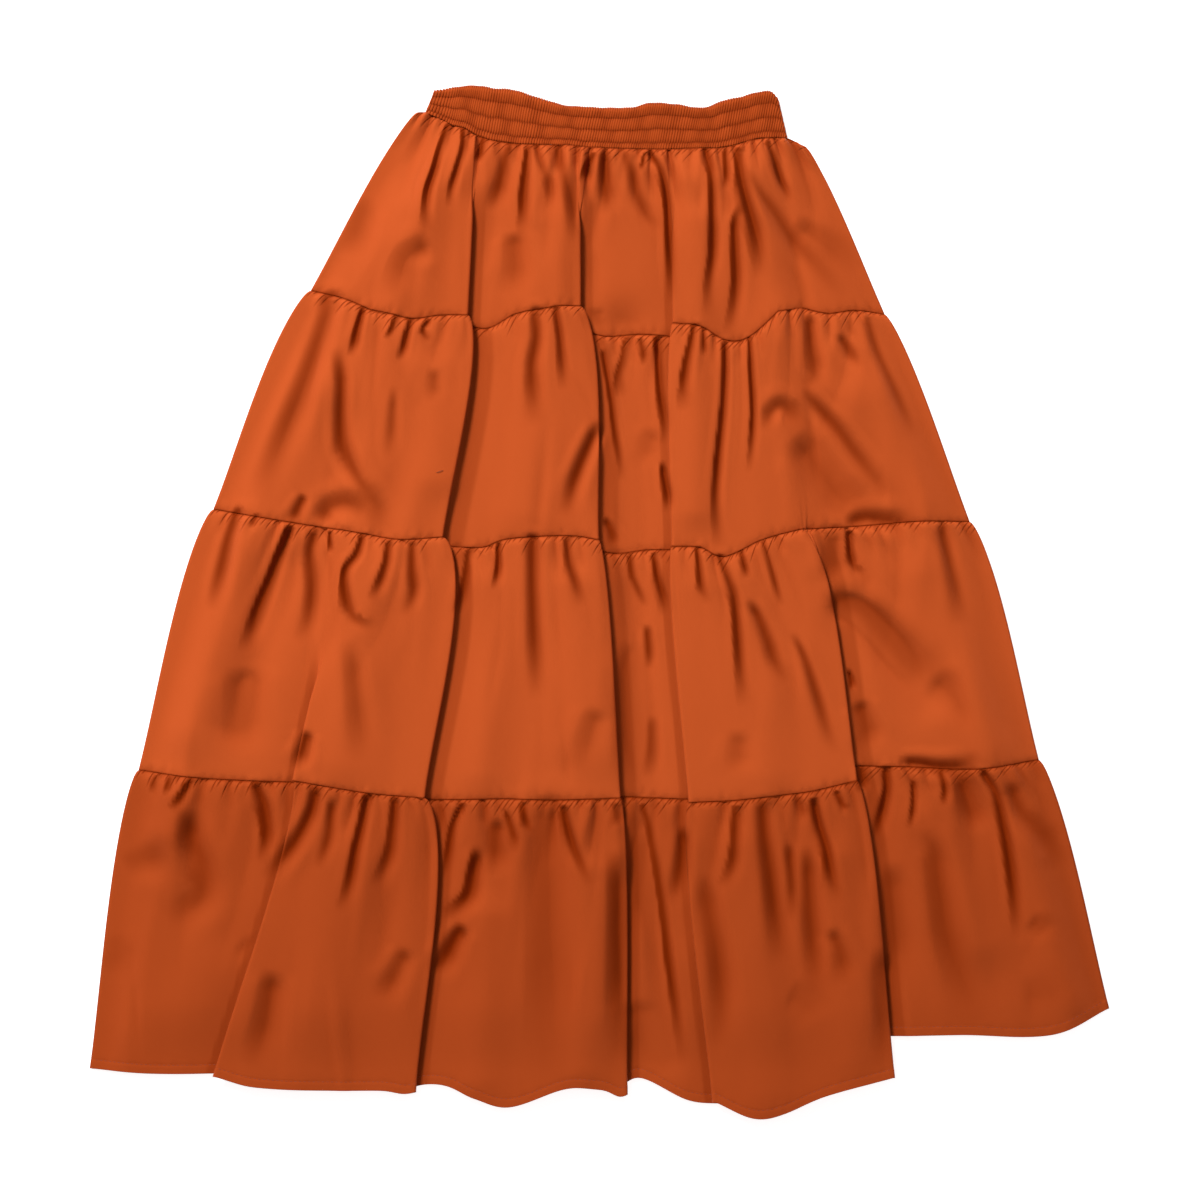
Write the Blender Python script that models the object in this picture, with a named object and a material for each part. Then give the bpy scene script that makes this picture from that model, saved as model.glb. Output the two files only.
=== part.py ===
"""Tiered ruffle skirt, laid flat on a surface with its front up.

Frame: metres, +Z up from the surface, +Y from the hem to the waist, +X to the
right of someone looking down with the waist at the top.  The origin is the
bottom centre of the whole skirt.

The skirt is an elastic waistband and four gathered tiers, each with a front
and a back panel.  The back panels lie flat on the surface.  The front is one
cloth that runs in a zigzag of five lengthwise folds, so it is three layers
deep along each fold, and it is cut across into the four tiers.
"""

from collections.abc import Callable
from dataclasses import dataclass
from enum import IntEnum

import bpy
import numpy as np

# Driving dimensions
CLOTH_WALL = 0.0012
SEAM_GAP = 0.0005
LIFT_GAP = 0.0003
BAND_WALL = 0.0030
LAYER_PITCH = 0.0024
ROLL_RADIUS = LAYER_PITCH / 2

# Heights of the middle of each wall
BACK_HEIGHT = CLOTH_WALL / 2
FRONT_HEIGHT = CLOTH_WALL + LIFT_GAP + CLOTH_WALL / 2
BAND_BACK_HEIGHT = BAND_WALL / 2
BAND_FRONT_HEIGHT = BAND_WALL + LIFT_GAP + BAND_WALL / 2

# Loft: the air that the gathers hold between front and back
BASE_LOFT = 0.0024
MAX_LOFT = 0.0060
LOFT_FADE = 0.055
HEM_LOFT_SHARE = 0.55
WAIST_RISE = 0.22
MIN_LOFT_SHARE = 0.35

# How the cloth bellies out below each seam
BELLY_PEAK = 0.28
BELLY_POWER = 2.0

# Mesh density
ROLL_ANGLES = (-90.0, -30.0, 30.0, 90.0)
ROLL_SPREAD = 0.06
FRONT_ROWS = (0.0, 0.10, 0.28, 0.52, 0.78, 1.0)
BACK_ROWS = (0.0, 0.33, 0.67, 1.0)
BAND_ROWS = (0.0, 0.5, 1.0)
BACK_COLUMNS = 22
PANEL_STEP = 0.026
SHARP_ANGLE = np.radians(50.0)

# The back hides behind the front
BACK_INSET = 0.004
BACK_SAG = (0.020, 0.012, 0.012, 0.012, 0.015)

RUST = (0.469, 0.069, 0.013)
RUST_BAND = (0.402, 0.056, 0.009)
CLOTH_ROUGHNESS = 0.55

Point = tuple[float, float]


class Turn(IntEnum):
    """Which way the cloth was heading where it folds back on itself."""

    NONE = 0
    RIGHT = 1
    LEFT = -1


@dataclass(frozen=True)
class FoldLine:
    """One lengthwise line in the front cloth, from the waist to the hem.

    `layers` are the layer the cloth comes from and the layer it goes on to,
    and `belly` is how far the line bows towards +X in each tier.
    """

    name: str
    turn: Turn
    layers: tuple[float, float]
    waist: Point
    seam_1: Point
    seam_2: Point
    seam_3: Point
    hem: Point
    belly: tuple[float, float, float, float]

    def level(self, number: int) -> Point:
        """The line's point on level 0 (the waist) to 4 (the hem)."""
        return (self.waist, self.seam_1, self.seam_2, self.seam_3, self.hem)[number]


@dataclass(frozen=True)
class Swell:
    """A long soft ridge (height > 0) or trough (height < 0) in the front."""

    name: str
    start: Point
    end: Point
    height: float
    half_width: float


NONE, RIGHT, LEFT = Turn.NONE, Turn.RIGHT, Turn.LEFT

# Columns: name, turn, layers, waist, seam 1, seam 2, seam 3, hem, belly of tiers 1 to 4
FRONT_LINES = (
    FoldLine("left_side", NONE, (0, 0), (-0.160, 0.430), (-0.255, 0.273), (-0.341, 0.080),
             (-0.407, -0.150), (-0.450, -0.413), (-0.007, -0.010, -0.009, -0.008)),
    FoldLine("left_panel", NONE, (0, 0), (-0.152, 0.430), (-0.225, 0.265), (-0.295, 0.072),
             (-0.350, -0.157), (-0.395, -0.417), (-0.003, -0.005, -0.004, -0.004)),
    FoldLine("under_flap_left", RIGHT, (0, 1), (-0.145, 0.427), (-0.196, 0.253), (-0.238, 0.063),
             (-0.260, -0.161), (-0.310, -0.417), (0.000, 0.000, 0.006, 0.008)),
    FoldLine("left_flap_edge", LEFT, (1, 2), (-0.139, 0.424), (-0.189, 0.252), (-0.231, 0.062),
             (-0.270, -0.159), (-0.340, -0.419), (0.000, 0.000, 0.006, 0.008)),
    FoldLine("left_flap", NONE, (2, 2), (-0.130, 0.419), (-0.165, 0.247), (-0.207, 0.058),
             (-0.245, -0.163), (-0.305, -0.428), (0.000, 0.003, 0.004, 0.006)),
    FoldLine("left_flap_middle", NONE, (1.6, 1.6), (-0.119, 0.416), (-0.141, 0.250), (-0.176, 0.053),
             (-0.202, -0.170), (-0.240, -0.431), (0.000, 0.006, 0.009, 0.009)),
    FoldLine("left_flap_right_edge", RIGHT, (2, 1), (-0.108, 0.409), (-0.116, 0.250), (-0.138, 0.055),
             (-0.154, -0.174), (-0.162, -0.431), (0.000, 0.009, 0.015, 0.014)),
    FoldLine("under_flap_right", LEFT, (1, 0), (-0.104, 0.408), (-0.130, 0.245), (-0.155, 0.049),
             (-0.172, -0.175), (-0.190, -0.429), (0.000, 0.009, 0.015, 0.014)),
    FoldLine("centre_start", NONE, (0, 0), (-0.095, 0.405), (-0.100, 0.239), (-0.106, 0.046),
             (-0.137, -0.176), (-0.141, -0.427), (0.000, 0.005, 0.010, 0.008)),
    FoldLine("centre_rise", NONE, (0.6, 0.6), (-0.075, 0.402), (-0.075, 0.251), (-0.084, 0.053),
             (-0.085, -0.175), (-0.110, -0.439), (0.000, 0.004, 0.006, 0.006)),
    FoldLine("centre", NONE, (1.3, 1.3), (-0.048, 0.401), (-0.048, 0.256), (-0.048, 0.056),
             (-0.044, -0.176), (-0.079, -0.446), (0.000, 0.004, 0.004, 0.004)),
    FoldLine("centre_top", NONE, (2, 2), (-0.028, 0.401), (-0.035, 0.258), (-0.022, 0.056),
             (-0.009, -0.175), (-0.021, -0.427), (0.000, 0.007, 0.003, 0.004)),
    FoldLine("centre_edge", RIGHT, (2, 1), (-0.014, 0.399), (-0.017, 0.258), (-0.001, 0.053),
             (0.018, -0.174), (0.024, -0.430), (-0.002, 0.010, 0.004, 0.004)),
    FoldLine("under_centre", LEFT, (1, 0), (-0.010, 0.399), (-0.030, 0.246), (-0.015, 0.046),
             (0.004, -0.173), (0.004, -0.422), (-0.002, 0.010, 0.004, 0.004)),
    FoldLine("recess_left", NONE, (0, 0), (0.009, 0.398), (0.000, 0.233), (0.013, 0.041),
             (0.032, -0.174), (0.036, -0.421), (0.000, 0.006, 0.000, 0.000)),
    FoldLine("recess_right", NONE, (0, 0), (0.040, 0.397), (0.036, 0.234), (0.042, 0.044),
             (0.057, -0.175), (0.079, -0.441), (0.000, 0.000, 0.000, 0.000)),
    FoldLine("under_right_flap", RIGHT, (0, 1), (0.059, 0.397), (0.075, 0.231), (0.075, 0.044),
             (0.092, -0.176), (0.117, -0.444), (0.000, -0.004, -0.004, -0.006)),
    FoldLine("right_flap_left_edge", LEFT, (1, 2), (0.062, 0.397), (0.064, 0.243), (0.063, 0.047),
             (0.078, -0.178), (0.099, -0.441), (0.000, -0.004, -0.004, -0.006)),
    FoldLine("right_flap_start", NONE, (2, 2), (0.084, 0.398), (0.088, 0.240), (0.088, 0.046),
             (0.119, -0.176), (0.133, -0.454), (0.000, 0.000, 0.000, 0.000)),
    FoldLine("right_flap", NONE, (1.8, 1.8), (0.103, 0.398), (0.111, 0.228), (0.109, 0.038),
             (0.154, -0.172), (0.163, -0.450), (0.000, 0.000, 0.002, 0.002)),
    FoldLine("right_flap_outer", NONE, (1.9, 1.9), (0.120, 0.401), (0.131, 0.231), (0.143, 0.053),
             (0.186, -0.168), (0.199, -0.436), (0.000, 0.000, 0.006, 0.004)),
    FoldLine("right_flap_edge", RIGHT, (2, 1), (0.136, 0.406), (0.163, 0.258), (0.181, 0.063),
             (0.226, -0.159), (0.259, -0.420), (0.000, 0.000, 0.010, 0.006)),
    FoldLine("under_right_edge", LEFT, (1, 0), (0.143, 0.407), (0.172, 0.258), (0.179, 0.062),
             (0.211, -0.146), (0.234, -0.385), (0.000, 0.000, 0.010, 0.006)),
    FoldLine("right_panel", NONE, (0, 0), (0.153, 0.407), (0.200, 0.252), (0.229, 0.065),
             (0.268, -0.147), (0.317, -0.383), (0.002, 0.003, 0.008, 0.006)),
    FoldLine("right_panel_outer", NONE, (0, 0), (0.165, 0.407), (0.224, 0.255), (0.280, 0.069),
             (0.330, -0.149), (0.397, -0.383), (0.003, 0.004, 0.007, 0.006)),
    FoldLine("right_side", NONE, (0, 0), (0.180, 0.400), (0.251, 0.252), (0.326, 0.069),
             (0.387, -0.141), (0.449, -0.360), (0.005, 0.006, 0.008, 0.007)),
)
LEVELS = 5

# Columns: name, start, end, height, half width
SWELLS = (
    Swell("left_shoulder", (-0.150, 0.330), (-0.210, 0.130), 0.0026, 0.024),
    Swell("left_lobe", (-0.290, 0.050), (-0.350, -0.130), 0.0029, 0.030),
    Swell("left_flap_lobe", (-0.190, 0.020), (-0.225, -0.140), 0.0029, 0.026),
    Swell("left_trough", (-0.255, 0.030), (-0.325, -0.100), -0.0026, 0.016),
    Swell("left_hem_lobe", (-0.370, -0.200), (-0.400, -0.380), 0.0026, 0.028),
    Swell("left_flap_hem", (-0.230, -0.220), (-0.255, -0.400), 0.0032, 0.028),
    Swell("centre_lobe", (-0.070, 0.330), (-0.070, 0.080), 0.0026, 0.026),
    Swell("centre_low_left", (-0.095, 0.000), (-0.100, -0.150), 0.0020, 0.022),
    Swell("centre_hem_left", (-0.100, -0.220), (-0.105, -0.410), 0.0032, 0.022),
    Swell("centre_hem_trough", (-0.048, -0.225), (-0.052, -0.430), -0.0029, 0.014),
    Swell("centre_hem_right", (-0.005, -0.220), (-0.008, -0.400), 0.0029, 0.018),
    Swell("recess", (0.045, 0.200), (0.060, -0.400), -0.0032, 0.024),
    Swell("right_flap_high", (0.105, 0.330), (0.085, 0.080), 0.0023, 0.018),
    Swell("right_flap_trough", (0.155, 0.180), (0.205, 0.085), -0.0029, 0.018),
    Swell("right_flap_low", (0.125, 0.010), (0.150, -0.150), 0.0026, 0.026),
    Swell("right_flap_hem", (0.150, -0.220), (0.165, -0.420), 0.0026, 0.024),
    Swell("right_upper_lobe", (0.205, 0.220), (0.270, 0.100), 0.0026, 0.030),
    Swell("right_hollow", (0.218, -0.005), (0.290, -0.075), -0.0039, 0.020),
    Swell("right_lobe", (0.290, 0.030), (0.340, -0.130), 0.0026, 0.026),
    Swell("right_hem_lobe", (0.330, -0.200), (0.370, -0.350), 0.0026, 0.026),
    Swell("right_hem_trough", (0.285, -0.210), (0.345, -0.350), -0.0026, 0.014),
)

# Columns: place along the band, height of its top edge
BAND_TOP = (
    (0.00, 0.449), (0.12, 0.453), (0.25, 0.448), (0.38, 0.436), (0.58, 0.434),
    (0.66, 0.438), (0.76, 0.434), (0.84, 0.440), (0.95, 0.448), (1.00, 0.442),
)
BAND_LEFT = (-0.154, -0.146)
BAND_RIGHT = (0.165, 0.157)


def clear_scene() -> None:
    """Remove every object and mesh of the open scene."""
    for thing in list(bpy.data.objects):
        bpy.data.objects.remove(thing, do_unlink=True)
    for mesh in list(bpy.data.meshes):
        bpy.data.meshes.remove(mesh)


def ease(value: np.ndarray | float) -> np.ndarray:
    """Smooth step from 0 to 1 as `value` goes from 0 to 1."""
    t = np.clip(value, 0.0, 1.0)
    return t * t * (3.0 - 2.0 * t)


def belly(place: float) -> float:
    """How far a line has bowed out at `place`, 0 at a tier's top to 1 at its foot."""
    rise = (place / BELLY_PEAK) ** (BELLY_POWER * BELLY_PEAK)
    fall = ((1.0 - place) / (1.0 - BELLY_PEAK)) ** (BELLY_POWER * (1.0 - BELLY_PEAK))
    return float(rise * fall)


def line_point(line: FoldLine, tier: int, place: float) -> np.ndarray:
    """Plan point of a fold line at `place` down tier 0 to 3."""
    top = np.array(line.level(tier)) - (0.0, SEAM_GAP / 2)
    foot = np.array(line.level(tier + 1)) + (0.0, SEAM_GAP / 2)
    point = top + (foot - top) * place
    point[0] += line.belly[tier] * belly(place)
    return point


def side_lines() -> tuple[np.ndarray, np.ndarray]:
    """The levels' points on the left and right side seams."""
    sides = (FRONT_LINES[0], FRONT_LINES[-1])
    return tuple(np.array([side.level(n) for n in range(LEVELS)]) for side in sides)


def swell_height(x: np.ndarray, y: np.ndarray, swell: Swell) -> np.ndarray:
    """Height of one swell over the plan: full along its line, fading all round."""
    start, end = np.array(swell.start), np.array(swell.end)
    run = end - start
    along = ((x - start[0]) * run[0] + (y - start[1]) * run[1]) / (run @ run)
    held = np.clip(along, 0.0, 1.0)
    away = np.hypot(x - start[0] - held * run[0], y - start[1] - held * run[1])
    return swell.height * np.exp(-((away / swell.half_width) ** 2))


def loft(x: np.ndarray, y: np.ndarray) -> np.ndarray:
    """Lift of the front cloth over the plan, none at the waist and the side seams."""
    left, right = side_lines()
    from_left = x - np.interp(-y, -left[:, 1], left[:, 0])
    from_right = np.interp(-y, -right[:, 1], right[:, 0]) - x
    waist, hem = FRONT_LINES[0].waist[1], FRONT_LINES[0].hem[1]
    fade = ease(np.minimum(from_left, from_right) / LOFT_FADE) * ease((waist - y) / (2 * LOFT_FADE))
    fade = fade * (HEM_LOFT_SHARE + (1 - HEM_LOFT_SHARE) * ease((y - hem) / (2 * LOFT_FADE)))
    height = BASE_LOFT + sum(swell_height(x, y, swell) for swell in SWELLS)
    lowest = BASE_LOFT * MIN_LOFT_SHARE
    return fade * np.clip(height, lowest, MAX_LOFT)


def roll_points(line: FoldLine, at: np.ndarray, overlap: float) -> list[tuple[float, float, float]]:
    """A fold's round edge as (x, y, layer), or a slope where nothing overlaps."""
    tightness = float(np.clip(overlap / (2 * ROLL_RADIUS), -1.0, 1.0))
    before, after = line.layers
    points = []
    for angle in np.radians(ROLL_ANGLES):
        round_part = line.turn * max(tightness, 0.0) * (np.cos(angle) - 1.0)
        slope_part = max(-tightness, 0.0) * np.sin(angle)
        share = (np.sin(angle) + 1.0) / 2
        share = ROLL_SPREAD + (1 - 2 * ROLL_SPREAD) * share
        x = at[0] + ROLL_RADIUS * (round_part + slope_part)
        points.append((x, at[1], before + (after - before) * share))
    return points


def section_parts(tier: int, place: float) -> list[list[tuple[float, float, float]]]:
    """Each fold line's own points across the front, as (x, y, layer)."""
    plan = [line_point(line, tier, place) for line in FRONT_LINES]
    parts = []
    for number, line in enumerate(FRONT_LINES):
        here = plan[number]
        if line.turn is NONE:
            parts.append([(here[0], here[1], line.layers[0])])
            continue
        first = number if FRONT_LINES[number + 1].turn is not NONE else number - 1
        overlap = plan[first][0] - plan[first + 1][0]
        parts.append(roll_points(line, here, overlap))
    return parts


def gap_steps() -> list[int]:
    """How many steps each stretch between fold lines takes, the same in every row."""
    steps = []
    for one, two in zip(FRONT_LINES, FRONT_LINES[1:]):
        widest = max(abs(two.level(n)[0] - one.level(n)[0]) for n in range(LEVELS))
        steps.append(max(1, round(widest / PANEL_STEP)))
    return steps


def front_row(tier: int, place: float) -> np.ndarray:
    """The points across the front at `place` down a tier, in metres."""
    parts = section_parts(tier, place)
    row = list(parts[0])
    for part, steps in zip(parts[1:], gap_steps()):
        last, target = np.array(row[-1]), np.array(part[0])
        row += [tuple(last + (target - last) * n / steps) for n in range(1, steps)]
        row += part
    x, y, layer = np.array(row).T
    rise = float(ease(place / WAIST_RISE)) if tier == 0 else 1.0
    height = BAND_FRONT_HEIGHT * (1 - rise) + FRONT_HEIGHT * rise
    return np.column_stack([x, y, height + LAYER_PITCH * layer * rise + loft(x, y)])


def back_row(tier: int, place: float) -> np.ndarray:
    """The points across a back panel at `place` down a tier."""
    along = np.linspace(0.0, 1.0, BACK_COLUMNS)
    edges = []
    for level, gap in ((tier, -SEAM_GAP / 2), (tier + 1, SEAM_GAP / 2)):
        left, right = (np.array(side.level(level)) for side in (FRONT_LINES[0], FRONT_LINES[-1]))
        x = (left[0] + BACK_INSET) + (right[0] - left[0] - 2 * BACK_INSET) * along
        sag = BACK_SAG[level] * 4 * along * (1 - along)
        lift = BACK_INSET if level == LEVELS - 1 else 0.0
        edges.append(np.column_stack([x, left[1] + (right[1] - left[1]) * along - sag + gap + lift]))
    plan = edges[0] + (edges[1] - edges[0]) * place
    return np.column_stack([plan, np.full(BACK_COLUMNS, BACK_HEIGHT)])


def waist_height(x: np.ndarray) -> np.ndarray:
    """Height of the front waist seam at x."""
    waist = np.array([line.waist for line in FRONT_LINES])
    return np.interp(x, waist[:, 0], waist[:, 1])


def back_waist_height(x: np.ndarray) -> np.ndarray:
    """Height of the back waist seam at x."""
    row = back_row(0, 0.0)
    return np.interp(x, row[:, 0], row[:, 1])


def band_row(
    place: float, seam: Callable[[np.ndarray], np.ndarray], height: float, drop: float
) -> np.ndarray:
    """The points along the waistband at `place`, 0 at the waist seam to 1 at its top."""
    seam_x = [line.waist[0] for line in FRONT_LINES if BAND_LEFT[0] < line.waist[0] < BAND_RIGHT[0]]
    seam_x = np.array([BAND_LEFT[0], *seam_x, BAND_RIGHT[0]])
    along = (seam_x - seam_x[0]) / (seam_x[-1] - seam_x[0])
    left = BAND_LEFT[0] + (BAND_LEFT[1] - BAND_LEFT[0]) * place
    right = BAND_RIGHT[0] + (BAND_RIGHT[1] - BAND_RIGHT[0]) * place
    x = left + (right - left) * along
    table = np.array(BAND_TOP)
    top = np.interp(along, table[:, 0], table[:, 1]) - drop
    low = seam(x) + SEAM_GAP
    return np.column_stack([x, low + (top - low) * place, np.full(len(x), height)])


def cloth_material(name: str, colour: tuple[float, float, float]) -> bpy.types.Material:
    """A matt cloth of one colour."""
    material = bpy.data.materials.new(name)
    material.use_nodes = True
    shader = material.node_tree.nodes["Principled BSDF"]
    shader.inputs["Base Color"].default_value = (*colour, 1.0)
    shader.inputs["Roughness"].default_value = CLOTH_ROUGHNESS
    shader.inputs["Metallic"].default_value = 0.0
    return material


def wall_directions(grid: np.ndarray) -> np.ndarray:
    """Unit directions through the wall at each point of a sheet.

    On the sheet's top and foot rows they have no part along Y, so that two
    panels keep their gap all along the seam between them.
    """
    across = np.gradient(grid, axis=1)
    down = np.gradient(grid, axis=0)
    through = np.cross(down, across)
    for row in (0, -1):
        through[row] = np.column_stack([-across[row, :, 2], np.zeros(len(across[row])), across[row, :, 0]])
    return through / np.linalg.norm(through, axis=2, keepdims=True)


def wall(name: str, rows: list[np.ndarray], thickness: float, material: bpy.types.Material) -> None:
    """Make one panel: the sheet through `rows`, from its top down, given a wall."""
    grid = np.array(rows)
    row_count, columns = grid.shape[:2]
    half = wall_directions(grid) * thickness / 2
    vertices = np.concatenate([(grid + half).reshape(-1, 3), (grid - half).reshape(-1, 3)])
    under = row_count * columns

    faces = []
    for row in range(row_count - 1):
        for column in range(columns - 1):
            corner = row * columns + column
            upper = (corner, corner + columns, corner + columns + 1, corner + 1)
            faces.append(upper)
            faces.append(tuple(under + index for index in reversed(upper)))
    first = [row * columns for row in range(row_count)]
    last = [start + columns - 1 for start in first]
    rim = list(range(columns)) + last[1:] + list(range(under - 2, under - columns - 1, -1)) + first[-2:0:-1]
    for here, ahead in zip(rim, rim[1:] + rim[:1]):
        faces.append((here, ahead, under + ahead, under + here))

    mesh = bpy.data.meshes.new(name)
    mesh.from_pydata(vertices.tolist(), [], faces)
    mesh.materials.append(material)
    mesh.shade_smooth()
    mesh.set_sharp_from_angle(angle=SHARP_ANGLE)
    panel = bpy.data.objects.new(name, mesh)
    bpy.context.scene.collection.objects.link(panel)


def build_waistband() -> None:
    """The elastic waistband, one half over the other."""
    material = cloth_material("rust_waistband", RUST_BAND)
    sheets = (
        ("waistband_front", waist_height, BAND_FRONT_HEIGHT, 0.0),
        ("waistband_back", back_waist_height, BAND_BACK_HEIGHT, BACK_INSET / 2),
    )
    for name, seam, height, drop in sheets:
        rows = [band_row(place, seam, height, drop) for place in reversed(BAND_ROWS)]
        wall(name, rows, BAND_WALL, material)


def build_tiers() -> None:
    """Four tiers, each a folded front panel over a flat back panel."""
    material = cloth_material("rust_cloth", RUST)
    for tier in range(LEVELS - 1):
        front = [front_row(tier, place) for place in FRONT_ROWS]
        back = [back_row(tier, place) for place in BACK_ROWS]
        wall(f"tier_{tier + 1}_front", front, CLOTH_WALL, material)
        wall(f"tier_{tier + 1}_back", back, CLOTH_WALL, material)


def main() -> None:
    """Build the whole skirt."""
    clear_scene()
    build_waistband()
    build_tiers()


if __name__ == "__main__":
    main()
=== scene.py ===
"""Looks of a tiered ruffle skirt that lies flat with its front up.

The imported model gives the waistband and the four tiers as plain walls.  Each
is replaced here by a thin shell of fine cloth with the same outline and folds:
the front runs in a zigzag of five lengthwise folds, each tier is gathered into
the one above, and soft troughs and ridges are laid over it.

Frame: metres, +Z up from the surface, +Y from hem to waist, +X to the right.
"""

import logging
import math
from dataclasses import dataclass, field, replace
from enum import Enum
from typing import Any

import bpy
import numpy as np
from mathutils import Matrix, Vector


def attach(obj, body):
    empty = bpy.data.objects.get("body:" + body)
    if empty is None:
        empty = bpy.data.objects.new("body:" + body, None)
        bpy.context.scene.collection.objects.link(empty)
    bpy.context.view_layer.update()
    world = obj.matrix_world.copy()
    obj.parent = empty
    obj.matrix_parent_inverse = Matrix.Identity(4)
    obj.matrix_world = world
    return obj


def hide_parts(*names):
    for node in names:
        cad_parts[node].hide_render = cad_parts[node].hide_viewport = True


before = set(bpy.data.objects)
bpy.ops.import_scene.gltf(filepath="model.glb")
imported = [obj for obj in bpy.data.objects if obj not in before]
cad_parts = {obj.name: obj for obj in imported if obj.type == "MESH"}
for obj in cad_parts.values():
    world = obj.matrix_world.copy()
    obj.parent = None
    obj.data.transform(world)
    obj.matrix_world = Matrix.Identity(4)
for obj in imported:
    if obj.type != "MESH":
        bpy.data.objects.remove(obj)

LOG = logging.getLogger("skirt")
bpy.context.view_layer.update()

Array = np.ndarray
Point = tuple[float, float]
Colour = tuple[float, float, float]

LIGHT_FROM = (-0.5, 0.86)
LEVELS = 5
TIERS = LEVELS - 1


class Turn(Enum):
    """Which way the cloth was heading where it folds back on itself."""

    NONE = 0
    RIGHT = 1
    LEFT = -1


class Edge(Enum):
    """How far a crease's steep flank reaches, in half widths."""

    SOFT = 1.7
    CRISP = 1.15


class Hold(Enum):
    LAID = "laid"


@dataclass(frozen=True)
class FoldLine:
    """One lengthwise line in the front cloth, from the waist to the hem.

    `layers` are the layer the cloth comes from and the one it goes on to, and
    `belly` is how far the line bows towards +X in each tier.
    """

    name: str
    turn: Turn
    layers: tuple[float, float]
    waist: Point
    seam_1: Point
    seam_2: Point
    seam_3: Point
    hem: Point
    belly: tuple[float, float, float, float]

    def levels(self) -> tuple[Point, ...]:
        """The line's points from the waist to the hem."""
        return (self.waist, self.seam_1, self.seam_2, self.seam_3, self.hem)


@dataclass(frozen=True)
class Swell:
    """A long soft ridge (height > 0) or hollow (height < 0) over the plan."""

    name: str
    height: float
    half_width: float
    start: Point
    end: Point


@dataclass(frozen=True)
class Crease:
    """A trough pressed into the cloth beside its dark line, in millimetres.

    `head` is the share of its length over which it deepens: small where it
    starts at a seam.
    """

    depth: float
    half_width: float
    edge: Edge
    head: float
    route: tuple[Point, ...]


@dataclass(frozen=True)
class GatherStyle:
    """How a seam gathers the cloth below it: ranges for spacing, length and depth."""

    seed: int
    spacing: tuple[float, float]
    length: tuple[float, float]
    depth: tuple[float, float]
    width: tuple[float, float]


NONE, RIGHT, LEFT = Turn.NONE, Turn.RIGHT, Turn.LEFT
CRISP, SOFT = Edge.CRISP, Edge.SOFT
MM = 0.001

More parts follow.
